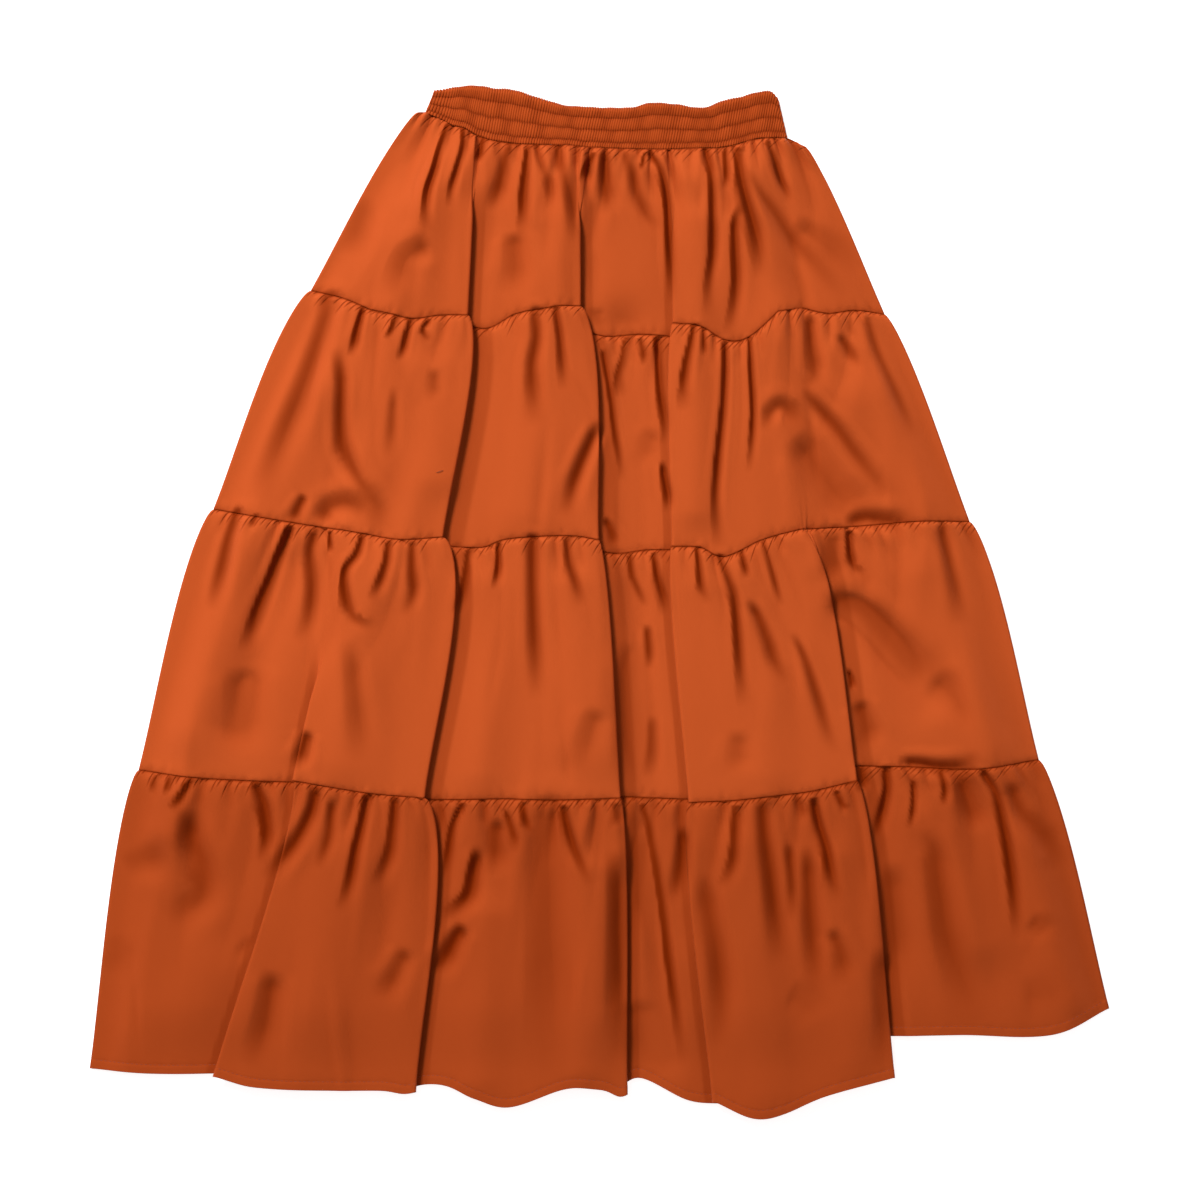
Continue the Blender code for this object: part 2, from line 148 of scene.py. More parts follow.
# Columns: name, turn, layers, waist, seam 1, seam 2, seam 3, hem, belly of tiers 1 to 4
FRONT_LINES = (
    FoldLine("left_side", NONE, (0, 0), (-0.160, 0.430), (-0.255, 0.273), (-0.341, 0.080),
             (-0.407, -0.150), (-0.450, -0.413), (-0.007, -0.010, -0.009, -0.008)),
    FoldLine("left_panel", NONE, (0, 0), (-0.152, 0.430), (-0.225, 0.265), (-0.295, 0.072),
             (-0.350, -0.157), (-0.395, -0.417), (-0.003, -0.005, -0.004, -0.004)),
    FoldLine("under_flap_left", RIGHT, (0, 1), (-0.145, 0.427), (-0.196, 0.253), (-0.238, 0.063),
             (-0.260, -0.161), (-0.310, -0.417), (0.000, 0.000, 0.006, 0.008)),
    FoldLine("left_flap_edge", LEFT, (1, 2), (-0.139, 0.424), (-0.189, 0.252), (-0.231, 0.062),
             (-0.270, -0.159), (-0.340, -0.419), (0.000, 0.000, 0.006, 0.008)),
    FoldLine("left_flap", NONE, (2, 2), (-0.130, 0.419), (-0.165, 0.247), (-0.207, 0.058),
             (-0.245, -0.163), (-0.305, -0.428), (0.000, 0.003, 0.004, 0.006)),
    FoldLine("left_flap_middle", NONE, (1.6, 1.6), (-0.119, 0.416), (-0.141, 0.250), (-0.176, 0.053),
             (-0.202, -0.170), (-0.240, -0.431), (0.000, 0.006, 0.009, 0.009)),
    FoldLine("left_flap_right_edge", RIGHT, (2, 1), (-0.108, 0.409), (-0.116, 0.250), (-0.138, 0.055),
             (-0.154, -0.174), (-0.162, -0.431), (0.000, 0.009, 0.015, 0.014)),
    FoldLine("under_flap_right", LEFT, (1, 0), (-0.104, 0.408), (-0.130, 0.245), (-0.155, 0.049),
             (-0.172, -0.175), (-0.190, -0.429), (0.000, 0.009, 0.015, 0.014)),
    FoldLine("centre_start", NONE, (0, 0), (-0.095, 0.405), (-0.100, 0.239), (-0.106, 0.046),
             (-0.137, -0.176), (-0.141, -0.427), (0.000, 0.005, 0.010, 0.008)),
    FoldLine("centre_rise", NONE, (0.6, 0.6), (-0.075, 0.402), (-0.075, 0.251), (-0.084, 0.053),
             (-0.085, -0.175), (-0.110, -0.439), (0.000, 0.004, 0.006, 0.006)),
    FoldLine("centre", NONE, (1.3, 1.3), (-0.048, 0.401), (-0.048, 0.256), (-0.048, 0.056),
             (-0.044, -0.176), (-0.079, -0.446), (0.000, 0.004, 0.004, 0.004)),
    FoldLine("centre_top", NONE, (2, 2), (-0.028, 0.401), (-0.035, 0.258), (-0.022, 0.056),
             (-0.009, -0.175), (-0.021, -0.427), (0.000, 0.007, 0.003, 0.004)),
    FoldLine("centre_edge", RIGHT, (2, 1), (-0.014, 0.399), (-0.017, 0.258), (-0.001, 0.053),
             (0.018, -0.174), (0.024, -0.430), (-0.002, 0.010, 0.004, 0.004)),
    FoldLine("under_centre", LEFT, (1, 0), (-0.010, 0.399), (-0.030, 0.246), (-0.015, 0.046),
             (0.004, -0.173), (0.004, -0.422), (-0.002, 0.010, 0.004, 0.004)),
    FoldLine("recess_left", NONE, (0, 0), (0.009, 0.398), (0.000, 0.233), (0.013, 0.041),
             (0.032, -0.174), (0.036, -0.421), (0.000, 0.006, 0.000, 0.000)),
    FoldLine("recess_right", NONE, (0, 0), (0.040, 0.397), (0.036, 0.234), (0.042, 0.044),
             (0.057, -0.175), (0.079, -0.441), (0.000, 0.000, 0.000, 0.000)),
    FoldLine("under_right_flap", RIGHT, (0, 1), (0.059, 0.397), (0.075, 0.231), (0.075, 0.044),
             (0.092, -0.176), (0.117, -0.444), (0.000, -0.004, -0.004, -0.006)),
    FoldLine("right_flap_left_edge", LEFT, (1, 2), (0.062, 0.397), (0.064, 0.243), (0.063, 0.047),
             (0.078, -0.178), (0.099, -0.441), (0.000, -0.004, -0.004, -0.006)),
    FoldLine("right_flap_start", NONE, (2, 2), (0.084, 0.398), (0.088, 0.240), (0.088, 0.046),
             (0.119, -0.176), (0.133, -0.454), (0.000, 0.000, 0.000, 0.000)),
    FoldLine("right_flap", NONE, (1.8, 1.8), (0.103, 0.398), (0.111, 0.228), (0.109, 0.038),
             (0.154, -0.172), (0.163, -0.450), (0.000, 0.000, 0.002, 0.002)),
    FoldLine("right_flap_outer", NONE, (1.9, 1.9), (0.120, 0.401), (0.131, 0.231), (0.143, 0.053),
             (0.186, -0.168), (0.199, -0.436), (0.000, 0.000, 0.006, 0.004)),
    FoldLine("right_flap_edge", RIGHT, (2, 1), (0.136, 0.406), (0.163, 0.258), (0.181, 0.063),
             (0.226, -0.159), (0.259, -0.420), (0.000, 0.000, 0.010, 0.006)),
    FoldLine("under_right_edge", LEFT, (1, 0), (0.143, 0.407), (0.172, 0.258), (0.179, 0.062),
             (0.211, -0.146), (0.234, -0.385), (0.000, 0.000, 0.010, 0.006)),
    FoldLine("right_panel", NONE, (0, 0), (0.153, 0.407), (0.200, 0.252), (0.229, 0.065),
             (0.268, -0.147), (0.317, -0.383), (0.002, 0.003, 0.008, 0.006)),
    FoldLine("right_panel_outer", NONE, (0, 0), (0.165, 0.407), (0.224, 0.255), (0.280, 0.069),
             (0.330, -0.149), (0.397, -0.383), (0.003, 0.004, 0.007, 0.006)),
    FoldLine("right_side", NONE, (0, 0), (0.180, 0.400), (0.251, 0.252), (0.326, 0.069),
             (0.387, -0.141), (0.449, -0.360), (0.005, 0.006, 0.008, 0.007)),
)

# Columns: name, height, half width, start, end
SWELLS = (
    Swell("left_shoulder", 0.0050, 0.030, (-0.165, 0.340), (-0.222, 0.190)),
    Swell("left_skirt", 0.0030, 0.034, (-0.262, 0.180), (-0.290, 0.080)),
    Swell("left_lobe", 0.0050, 0.030, (-0.310, 0.040), (-0.360, -0.110)),
    Swell("left_flap_lobe", 0.0050, 0.028, (-0.196, 0.020), (-0.225, -0.140)),
    Swell("left_trough", -0.0050, 0.018, (-0.275, 0.030), (-0.325, -0.110)),
    Swell("left_puff", 0.0045, 0.020, (-0.378, -0.172), (-0.388, -0.200)),
    Swell("left_hem_lobe", 0.0035, 0.034, (-0.345, -0.330), (-0.395, -0.395)),
    Swell("left_flap_hem", 0.0050, 0.030, (-0.225, -0.230), (-0.255, -0.410)),
    Swell("flap_inner", 0.0040, 0.018, (-0.150, 0.200), (-0.142, 0.110)),
    Swell("centre_lobe", 0.0045, 0.026, (-0.045, 0.330), (-0.062, 0.080)),
    Swell("centre_low_left", 0.0040, 0.022, (-0.098, 0.010), (-0.105, -0.150)),
    Swell("centre_low_right", 0.0035, 0.020, (-0.022, 0.010), (-0.012, -0.130)),
    Swell("centre_hem_left", 0.0055, 0.020, (-0.100, -0.280), (-0.105, -0.420)),
    Swell("centre_hem_right", 0.0055, 0.018, (-0.008, -0.240), (-0.012, -0.410)),
    Swell("recess", -0.0060, 0.020, (0.020, 0.240), (0.055, -0.400)),
    Swell("right_flap_high", 0.0040, 0.016, (0.088, 0.330), (0.084, 0.080)),
    Swell("right_flap_low", 0.0050, 0.026, (0.110, 0.010), (0.145, -0.150)),
    Swell("right_flap_hem", 0.0050, 0.024, (0.125, -0.220), (0.150, -0.430)),
    Swell("right_flap_outer", 0.0040, 0.018, (0.205, -0.230), (0.225, -0.400)),
    Swell("right_upper_lobe", 0.0045, 0.034, (0.170, 0.235), (0.215, 0.185)),
    Swell("right_side_lobe", 0.0050, 0.034, (0.255, 0.180), (0.300, 0.100)),
    Swell("right_hollow", -0.0055, 0.022, (0.225, -0.012), (0.290, -0.080)),
    Swell("right_lobe", 0.0050, 0.028, (0.285, 0.020), (0.345, -0.125)),
    Swell("right_hem_inner", 0.0045, 0.024, (0.290, -0.190), (0.335, -0.300)),
    Swell("right_hem_lobe", 0.0045, 0.026, (0.385, -0.215), (0.415, -0.345)),
)

# How each seam gathers the tier below it, from the waist down: fine, middle and long folds
GATHERS = (
    (
        GatherStyle(11, (0.0040, 0.0075), (0.008, 0.026), (0.0010, 0.0026), (0.0013, 0.0030)),
        GatherStyle(12, (0.0100, 0.0240), (0.030, 0.100), (0.0020, 0.0050), (0.0022, 0.0065)),
        GatherStyle(13, (0.0300, 0.0700), (0.090, 0.170), (0.0020, 0.0045), (0.0040, 0.0110)),
    ),
    (
        GatherStyle(21, (0.0040, 0.0090), (0.005, 0.016), (0.0008, 0.0020), (0.0012, 0.0028)),
        GatherStyle(22, (0.0110, 0.0300), (0.018, 0.055), (0.0014, 0.0038), (0.0020, 0.0060)),
        GatherStyle(23, (0.0350, 0.0800), (0.090, 0.190), (0.0014, 0.0036), (0.0050, 0.0130)),
    ),
    (
        GatherStyle(31, (0.0040, 0.0090), (0.005, 0.017), (0.0008, 0.0020), (0.0012, 0.0028)),
        GatherStyle(32, (0.0110, 0.0300), (0.018, 0.060), (0.0014, 0.0038), (0.0020, 0.0060)),
        GatherStyle(33, (0.0350, 0.0800), (0.100, 0.220), (0.0014, 0.0036), (0.0050, 0.0140)),
    ),
    (
        GatherStyle(41, (0.0040, 0.0085), (0.006, 0.020), (0.0009, 0.0024), (0.0012, 0.0028)),
        GatherStyle(42, (0.0110, 0.0280), (0.022, 0.075), (0.0018, 0.0044), (0.0022, 0.0065)),
        GatherStyle(43, (0.0350, 0.0750), (0.110, 0.270), (0.0018, 0.0042), (0.0060, 0.0160)),
    ),
)
PUCKERS = GatherStyle(71, (0.0060, 0.0150), (0.004, 0.014), (0.0004, 0.0014), (0.0015, 0.0032))

# Columns: place across the hem, how far it dips, half width
HEM_DIPS = (
    (-0.172, 0.003, 0.012), (-0.005, 0.003, 0.020), (0.018, 0.006, 0.010), (0.148, 0.002, 0.020),
)

# Columns: place along the band, height of its top edge
BAND_TOP = (
    (0.00, 0.449), (0.03, 0.450), (0.09, 0.453), (0.13, 0.453), (0.17, 0.451), (0.22, 0.450), (0.28, 0.445),
    (0.33, 0.440), (0.38, 0.436), (0.48, 0.434), (0.57, 0.434), (0.63, 0.438), (0.70, 0.437), (0.76, 0.434),
    (0.80, 0.435), (0.84, 0.440), (0.90, 0.444), (0.95, 0.448), (0.98, 0.448), (1.00, 0.442),
)

# Columns: depth, half width, edge, head, route of the dark line; millimetres
CREASES = (
    # Tier 1
    Crease(4, 3.5, CRISP, 0.05, ((-135, 418), (-141, 400), (-146, 380), (-152, 360), (-153, 340),
                                 (-149, 322))),
    Crease(3, 9, SOFT, 0.2, ((-148, 317), (-160, 312), (-172, 303), (-177, 287), (-181, 268))),
    Crease(2.2, 8, SOFT, 0.3, ((-205, 360), (-213, 335), (-222, 305))),
    Crease(3, 3, CRISP, 0.05, ((-121, 416), (-121, 400), (-126, 380), (-131, 362), (-132, 345))),
    Crease(3.5, 3.5, CRISP, 0.05, ((-102, 408), (-105, 398), (-108, 386))),
    Crease(3, 5, SOFT, 0.05, ((-80, 400), (-85, 382), (-90, 362), (-97, 343))),
    Crease(3.2, 4, CRISP, 0.05, ((-64, 398), (-66, 380), (-68, 360), (-68, 340), (-66, 322))),
    Crease(2.4, 8, SOFT, 0.2, ((-78, 328), (-76, 310), (-76, 290), (-80, 270))),
    Crease(1.2, 3, CRISP, 0.05, ((-57, 400), (-52, 385), (-46, 370), (-43, 345))),
    Crease(2.2, 4, SOFT, 0.05, ((-38, 399), (-34, 385), (-29, 365), (-24, 340), (-20, 315))),
    Crease(3, 4, CRISP, 0.05, ((-7, 392), (-12, 382), (-14, 368))),
    Crease(3, 5, SOFT, 0.05, ((3, 392), (5, 372), (7, 352), (4, 340))),
    Crease(2.2, 4, SOFT, 0.05, ((22, 393), (28, 375), (34, 355), (42, 338), (52, 325))),
    Crease(2, 2, CRISP, 0.05, ((39, 393), (36, 378))),
    Crease(3.2, 3.5, CRISP, 0.05, ((44, 394), (53, 378), (58, 355), (60, 325), (62, 295), (64, 262))),
    Crease(3.2, 4, CRISP, 0.05, ((92, 398), (97, 378), (98, 340), (98, 305), (95, 280), (94, 248))),
    Crease(2.6, 3, CRISP, 0.05, ((110, 396), (111, 380), (111, 362))),
    Crease(4.5, 5, CRISP, 0.05, ((121, 396), (123, 372), (129, 348), (135, 327), (140, 303), (142, 284))),
    Crease(3.2, 4.5, CRISP, 0.2, ((124, 350), (118, 335), (118, 310), (119, 285), (117, 260), (112, 234))),
    Crease(3.8, 3.5, CRISP, 0.05, ((147, 403), (152, 391), (158, 373), (164, 361), (169, 351))),
    Crease(2.2, 5, SOFT, 0.3, ((125, 385), (140, 360), (155, 340), (170, 318), (190, 295), (213, 267))),
    Crease(2.4, 9, SOFT, 0.2, ((166, 334), (185, 325), (205, 310), (225, 290))),
    Crease(2.6, 8, SOFT, 0.3, ((-6, 262), (-4, 250), (6, 250))),
    # Tier 2
    Crease(4.2, 8, SOFT, 0.05, ((-239, 268), (-245, 243), (-254, 215), (-265, 185), (-277, 155),
                                (-290, 120), (-301, 90))),
    Crease(3, 3.5, CRISP, 0.05, ((-209, 256), (-214, 238), (-219, 214))),
    Crease(3.2, 5, SOFT, 0.2, ((-232, 225), (-228, 195), (-229, 160), (-226, 134), (-212, 106),
                               (-197, 86), (-191, 62))),
    Crease(2, 2.5, CRISP, 0.05, ((-180, 249), (-183, 238), (-188, 229))),
    Crease(3, 3, CRISP, 0.05, ((-167, 246), (-171, 230), (-176, 210))),
    Crease(1.8, 2.5, CRISP, 0.05, ((-151, 246), (-156, 238), (-150, 227))),
    Crease(1.4, 5, SOFT, 0.3, ((-146, 206), (-146, 175))),
    Crease(1.4, 4, SOFT, 0.3, ((-181, 190), (-183, 155), (-185, 125))),
    Crease(3.2, 8, SOFT, 0.2, ((-247, 68), (-240, 84), (-224, 88), (-210, 82), (-199, 70))),
    Crease(2.4, 4, SOFT, 0.2, ((-260, 95), (-266, 82), (-273, 67))),
    Crease(3, 5, SOFT, 0.05, ((-57, 254), (-56, 232), (-60, 208), (-58, 180), (-54, 155))),
    Crease(2, 3.5, CRISP, 0.05, ((-39, 256), (-36, 236), (-34, 212), (-30, 186))),
    Crease(3.4, 5, SOFT, 0.2, ((-1, 160), (-9, 141), (-17, 122), (-24, 102), (-30, 74))),
    Crease(2.4, 2.2, CRISP, 0.05, ((2, 219), (6, 198), (10, 174), (13, 150), (18, 124), (20, 105))),
    Crease(2.4, 3.5, CRISP, 0.05, ((22, 230), (20, 214), (16, 198), (18, 180))),
    Crease(1.8, 2.5, CRISP, 0.05, ((35, 230), (38, 220), (40, 208))),
    Crease(2.6, 3, CRISP, 0.05, ((49, 231), (51, 205), (53, 180), (57, 155), (57, 136))),
    Crease(3.2, 3, CRISP, 0.2, ((54, 124), (56, 110), (59, 94), (61, 78))),
    Crease(2, 8, SOFT, 0.3, ((48, 155), (41, 138), (44, 122))),
    Crease(2.6, 3, SOFT, 0.2, ((3, 74), (9, 63), (14, 49))),
    Crease(3, 4, CRISP, 0.05, ((82, 241), (79, 226), (75, 207), (73, 188), (76, 168))),
    Crease(1.8, 2.5, CRISP, 0.05, ((90, 238), (91, 225), (92, 215))),
    Crease(3.2, 3.5, CRISP, 0.05, ((109, 226), (109, 200), (107, 165), (103, 125), (101, 90),
                                   (103, 62), (106, 44))),
    Crease(2.6, 2.8, CRISP, 0.05, ((131, 230), (132, 205), (134, 170), (133, 140), (131, 112))),
    Crease(2.4, 5, SOFT, 0.05, ((183, 248), (185, 222), (188, 200), (180, 187))),
    Crease(2, 4, SOFT, 0.2, ((208, 236), (215, 226), (223, 215), (230, 205))),
    Crease(2.6, 5, SOFT, 0.2, ((176, 189), (192, 170), (209, 151), (224, 131), (240, 110), (258, 88))),
    Crease(2.4, 6, SOFT, 0.3, ((147, 150), (148, 166), (157, 173), (168, 166), (178, 152))),
    Crease(5.5, 12, SOFT, 0.2, ((166, 150), (180, 134), (193, 116), (205, 100), (221, 85), (242, 76))),
    Crease(3, 6, SOFT, 0.2, ((213, 70), (232, 74), (256, 72), (276, 71))),
    Crease(2, 4, SOFT, 0.05, ((235, 247), (243, 222), (255, 194), (268, 165), (277, 142))),
    # Tier 3
    Crease(3.2, 5, SOFT, 0.05, ((-320, 79), (-327, 58), (-332, 36), (-337, 14), (-341, -8))),
    Crease(2, 2.5, CRISP, 0.05, ((-303, 75), (-306, 64))),
    Crease(4.5, 5, CRISP, 0.05, ((-274, 64), (-283, 42), (-291, 20), (-299, 0), (-307, -22), (-314, -45))),
    Crease(5, 13, SOFT, 0.2, ((-318, -52), (-315, -80), (-313, -110), (-310, -138))),
    Crease(3, 5, SOFT, 0.05, ((-252, 61), (-256, 43), (-254, 15), (-257, -15), (-265, -36))),
    Crease(2, 2, CRISP, 0.05, ((-238, 60), (-237, 42))),
    Crease(3, 4, CRISP, 0.05, ((-209, 57), (-214, 42), (-224, 28), (-224, 8), (-218, -12),
                               (-206, -20), (-196, -15))),
    Crease(2.8, 4, CRISP, 0.05, ((-186, 51), (-188, 34), (-194, 16), (-201, 0))),
    Crease(2.6, 4, SOFT, 0.05, ((-165, 51), (-165, 30), (-164, 8), (-171, -13))),
    Crease(2.2, 7, SOFT, 0.3, ((-222, -30), (-217, -60), (-213, -100), (-208, -140))),
    Crease(3.4, 5, SOFT, 0.2, ((-257, -112), (-261, -130), (-268, -148))),
    Crease(2.6, 4, CRISP, 0.05, ((-116, 45), (-118, 26), (-122, 6), (-126, -12))),
    Crease(2.2, 3, CRISP, 0.05, ((-90, 49), (-90, 30), (-93, 10))),
    Crease(3, 5, SOFT, 0.05, ((-61, 55), (-60, 32), (-59, 6), (-58, -24), (-56, -56), (-55, -86))),
    Crease(2.2, 3.5, CRISP, 0.05, ((-30, 54), (-27, 32), (-21, 14), (-15, -4))),
    Crease(2.4, 9, SOFT, 0.2, ((-3, -90), (-12, -120), (-18, -150))),
    Crease(4.2, 11, SOFT, 0.2, ((25, -30), (25, -80), (28, -130), (30, -165))),
    Crease(2.4, 2.5, CRISP, 0.05, ((26, 40), (29, 21), (34, 8), (40, -5))),
    Crease(2.2, 3, SOFT, 0.2, ((41, -20), (43, -40), (44, -60))),
    Crease(2.8, 3, CRISP, 0.05, ((47, 41), (50, 22), (55, 4), (59, -12))),
    Crease(2.2, 4, SOFT, 0.2, ((45, -100), (45, -130), (42, -155))),
    Crease(2.2, 3, CRISP, 0.05, ((85, 46), (87, 26), (89, 12), (95, -2))),
    Crease(2.8, 4, CRISP, 0.05, ((104, 39), (111, 22), (117, 4), (120, -26), (123, -60), (127, -92))),
    Crease(2, 8, SOFT, 0.3, ((120, -110), (121, -150))),
    Crease(2.6, 2.5, CRISP, 0.05, ((124, 43), (127, 30), (130, 20))),
    Crease(1.8, 2, CRISP, 0.05, ((143, 52), (149, 32), (155, 11), (160, -5))),
    Crease(3, 4.5, SOFT, 0.2, ((128, 3), (138, -13), (146, -32), (153, -52), (163, -73))),
    Crease(2, 3.5, SOFT, 0.2, ((168, -26), (180, -52), (191, -85), (201, -118), (207, -134))),
    Crease(4.4, 9, SOFT, 0.05, ((205, 60), (206, 40), (207, 18))),
    Crease(3.6, 3, CRISP, 0.05, ((218, 60), (220, 42), (224, 30), (232, 24))),
    Crease(5.5, 10, SOFT, 0.05, ((210, 1), (225, -5), (241, -18), (257, -36), (272, -54), (288, -68))),
    Crease(2.4, 10, SOFT, 0.2, ((288, -62), (303, -75), (316, -95), (322, -115))),
    Crease(3, 7, SOFT, 0.2, ((225, -85), (235, -110), (240, -130))),
    Crease(3, 5, SOFT, 0.2, ((260, -140), (280, -142), (300, -145), (320, -143), (335, -135))),
    Crease(2, 5, SOFT, 0.05, ((299, 63), (306, 38), (313, 8), (319, -20))),
    Crease(4, 2, CRISP, 0.2, ((218, -60), (221, -70), (222, -79))),
    # Tier 4
    Crease(3.2, 4, CRISP, 0.05, ((-361, -158), (-369, -172), (-377, -184))),
    Crease(2.4, 2.5, CRISP, 0.05, ((-378, -156), (-383, -170))),
    Crease(2, 2.5, CRISP, 0.05, ((-392, -155), (-396, -168))),
    Crease(4.6, 9, SOFT, 0.2, ((-362, -178), (-362, -205), (-352, -232), (-351, -256),
                               (-366, -270), (-384, -280))),
    Crease(4, 10, SOFT, 0.2, ((-424, -230), (-400, -224), (-378, -222))),
    Crease(3.6, 10, SOFT, 0.2, ((-436, -292), (-428, -308), (-438, -325))),
    Crease(4, 5, CRISP, 0.05, ((-304, -162), (-297, -180), (-294, -205), (-297, -230))),
    Crease(3, 8, SOFT, 0.3, ((-320, -298), (-310, -306))),
    Crease(3.6, 5, SOFT, 0.05, ((-250, -166), (-254, -183), (-266, -207), (-281, -229), (-294, -246))),
    Crease(2.2, 4, SOFT, 0.05, ((-236, -178), (-238, -205), (-247, -235))),
    Crease(4, 4.5, CRISP, 0.05, ((-206, -172), (-210, -195), (-216, -222), (-221, -250), (-228, -272))),
    Crease(3, 5, CRISP, 0.05, ((-181, -174), (-183, -200), (-187, -225), (-198, -250))),
    Crease(2.4, 7, SOFT, 0.2, ((-170, -302), (-180, -325), (-194, -350))),
    Crease(4, 9, SOFT, 0.2, ((-289, -320), (-292, -350), (-298, -380), (-307, -408))),
    Crease(2.8, 3.5, CRISP, 0.05, ((-122, -180), (-129, -193), (-133, -215), (-136, -245))),
    Crease(4.4, 6, CRISP, 0.2, ((-108, -214), (-113, -238), (-117, -258), (-128, -270), (-139, -279))),
    Crease(4.4, 6, SOFT, 0.2, ((-120, -282), (-130, -300), (-138, -316), (-147, -328))),
    Crease(3.4, 7, SOFT, 0.2, ((-92, -188), (-92, -212), (-92, -240))),
    Crease(2.6, 3, CRISP, 0.05, ((-83, -186), (-78, -200), (-72, -220))),
    Crease(3, 3, CRISP, 0.05, ((-68, -178), (-65, -195), (-60, -204))),
    Crease(6, 14, SOFT, 0.05, ((-47, -180), (-48, -230), (-47, -290), (-44, -350), (-46, -415))),
    Crease(3.2, 4, CRISP, 0.05, ((-33, -182), (-28, -203), (-20, -225), (-8, -250))),
    Crease(4.6, 8, SOFT, 0.2, ((13, -215), (15, -260), (16, -320), (18, -400))),
    Crease(3.4, 4, CRISP, 0.05, ((13, -180), (17, -196))),
    Crease(3.2, 9, SOFT, 0.2, ((34, -200), (34, -250), (33, -300))),
    Crease(5.5, 14, SOFT, 0.2, ((30, -345), (30, -375), (32, -410))),
    Crease(3, 3, CRISP, 0.05, ((37, -181), (43, -199), (49, -232), (55, -270), (60, -312),
                               (67, -360), (75, -410))),
    Crease(3, 5, SOFT, 0.2, ((73, -196), (71, -225), (68, -248), (63, -266))),
    Crease(3, 7, SOFT, 0.2, ((90, -235), (96, -275), (104, -320), (107, -360), (103, -392))),
    Crease(3.2, 5, CRISP, 0.05, ((118, -182), (118, -205), (115, -232), (107, -252))),
    Crease(3.6, 6, SOFT, 0.05, ((142, -178), (144, -205), (149, -240), (154, -278), (160, -318))),
    Crease(2.2, 4, SOFT, 0.2, ((164, -210), (168, -240), (170, -280))),
    Crease(3, 4.5, SOFT, 0.05, ((173, -175), (178, -184), (183, -186))),
    Crease(4, 4, CRISP, 0.05, ((186, -175), (191, -194), (198, -217), (203, -242), (211, -263))),
    Crease(3, 6, SOFT, 0.2, ((181, -212), (183, -255), (187, -300), (193, -345))),
    Crease(2.6, 3, CRISP, 0.05, ((207, -168), (213, -180), (218, -183))),
    Crease(2.6, 6, SOFT, 0.2, ((200, -285), (209, -305), (217, -335))),
    Crease(3, 12, SOFT, 0.2, ((160, -340), (176, -348), (190, -365))),
    Crease(3, 8, SOFT, 0.2, ((245, -300), (250, -360), (250, -410))),
    Crease(4, 4, CRISP, 0.05, ((229, -147), (233, -166))),
    Crease(3.4, 4, CRISP, 0.05, ((251, -148), (252, -165), (247, -188), (242, -210))),
    Crease(3.8, 10, SOFT, 0.2, ((253, -225), (257, -265), (261, -305), (262, -345))),
    Crease(2.6, 2.5, CRISP, 0.05, ((275, -160), (275, -180), (272, -200))),
    Crease(4.2, 9, SOFT, 0.2, ((280, -195), (292, -218), (298, -252), (304, -290), (317, -330), (333, -372))),
    Crease(2.6, 3, CRISP, 0.05, ((300, -150), (303, -163), (302, -180))),
    Crease(3.6, 8, SOFT, 0.05, ((318, -155), (324, -178), (336, -200))),
    Crease(3.8, 4, CRISP, 0.05, ((337, -151), (347, -167), (353, -190), (359, -222), (364, -258),
                                 (368, -296))),
    Crease(3.4, 7, SOFT, 0.05, ((362, -165), (371, -184), (385, -200), (398, -215), (405, -235))),
    Crease(3, 8, SOFT, 0.2, ((375, -278), (385, -285), (392, -295))),
    Crease(3, 14, SOFT, 0.2, ((366, -345), (392, -342), (415, -335))),
)


def ease(value: Array | float) -> Array:
    """Smooth step: 3t^2 - 2t^3 of `value` held between 0 and 1."""
    t = np.clip(value, 0.0, 1.0)
    return t * t * (3.0 - 2.0 * t)


def soft_limit(value: Array, limit: Array | float) -> Array:
    """Hold `value` within +-limit with a smooth approach: limit * tanh(value / limit)."""
    return limit * np.tanh(value / limit)


def soft_floor(value: Array, floor: Array | float, softness: float) -> Array:
    """The larger of `value` and `floor`, rounded where they meet by `softness`."""
    return floor + softness * np.logaddexp(0.0, (value - floor) / softness)


def smooth_run(points: Array, steps: list[int]) -> Array:
    """A smooth curve through a few points, sampled row by row.

    Cubic Hermite pieces whose slopes come from each point's two neighbours,
    over the mean chord lengths, so that all rows share one spacing.

    Args:
        points: The curve's own points, shaped rows by points by channels.
        steps: How many steps each stretch between two points takes.

    Returns:
        The samples, without the last point.
    """
    chords = np.linalg.norm(np.diff(points[..., :2], axis=1), axis=2).mean(axis=0) + 1e-6
    knots = np.concatenate([[0.0], np.cumsum(chords)])
    slopes = np.empty_like(points)
    slopes[:, 0] = (points[:, 1] - points[:, 0]) / chords[0]
    slopes[:, -1] = (points[:, -1] - points[:, -2]) / chords[-1]
    for i in range(1, points.shape[1] - 1):
        slopes[:, i] = (points[:, i + 1] - points[:, i - 1]) / (knots[i + 1] - knots[i - 1])
    pieces = []
    for i, count in enumerate(steps):
        t = (np.arange(count) / count)[None, :, None]
        h = chords[i]
        start, end = points[:, i, None], points[:, i + 1, None]
        out, into = slopes[:, i, None] * h, slopes[:, i + 1, None] * h
        pieces.append(
            start * (2 * t**3 - 3 * t**2 + 1) + out * (t**3 - 2 * t**2 + t)
            + end * (3 * t**2 - 2 * t**3) + into * (t**3 - t**2)
        )
    return np.concatenate(pieces, axis=1)


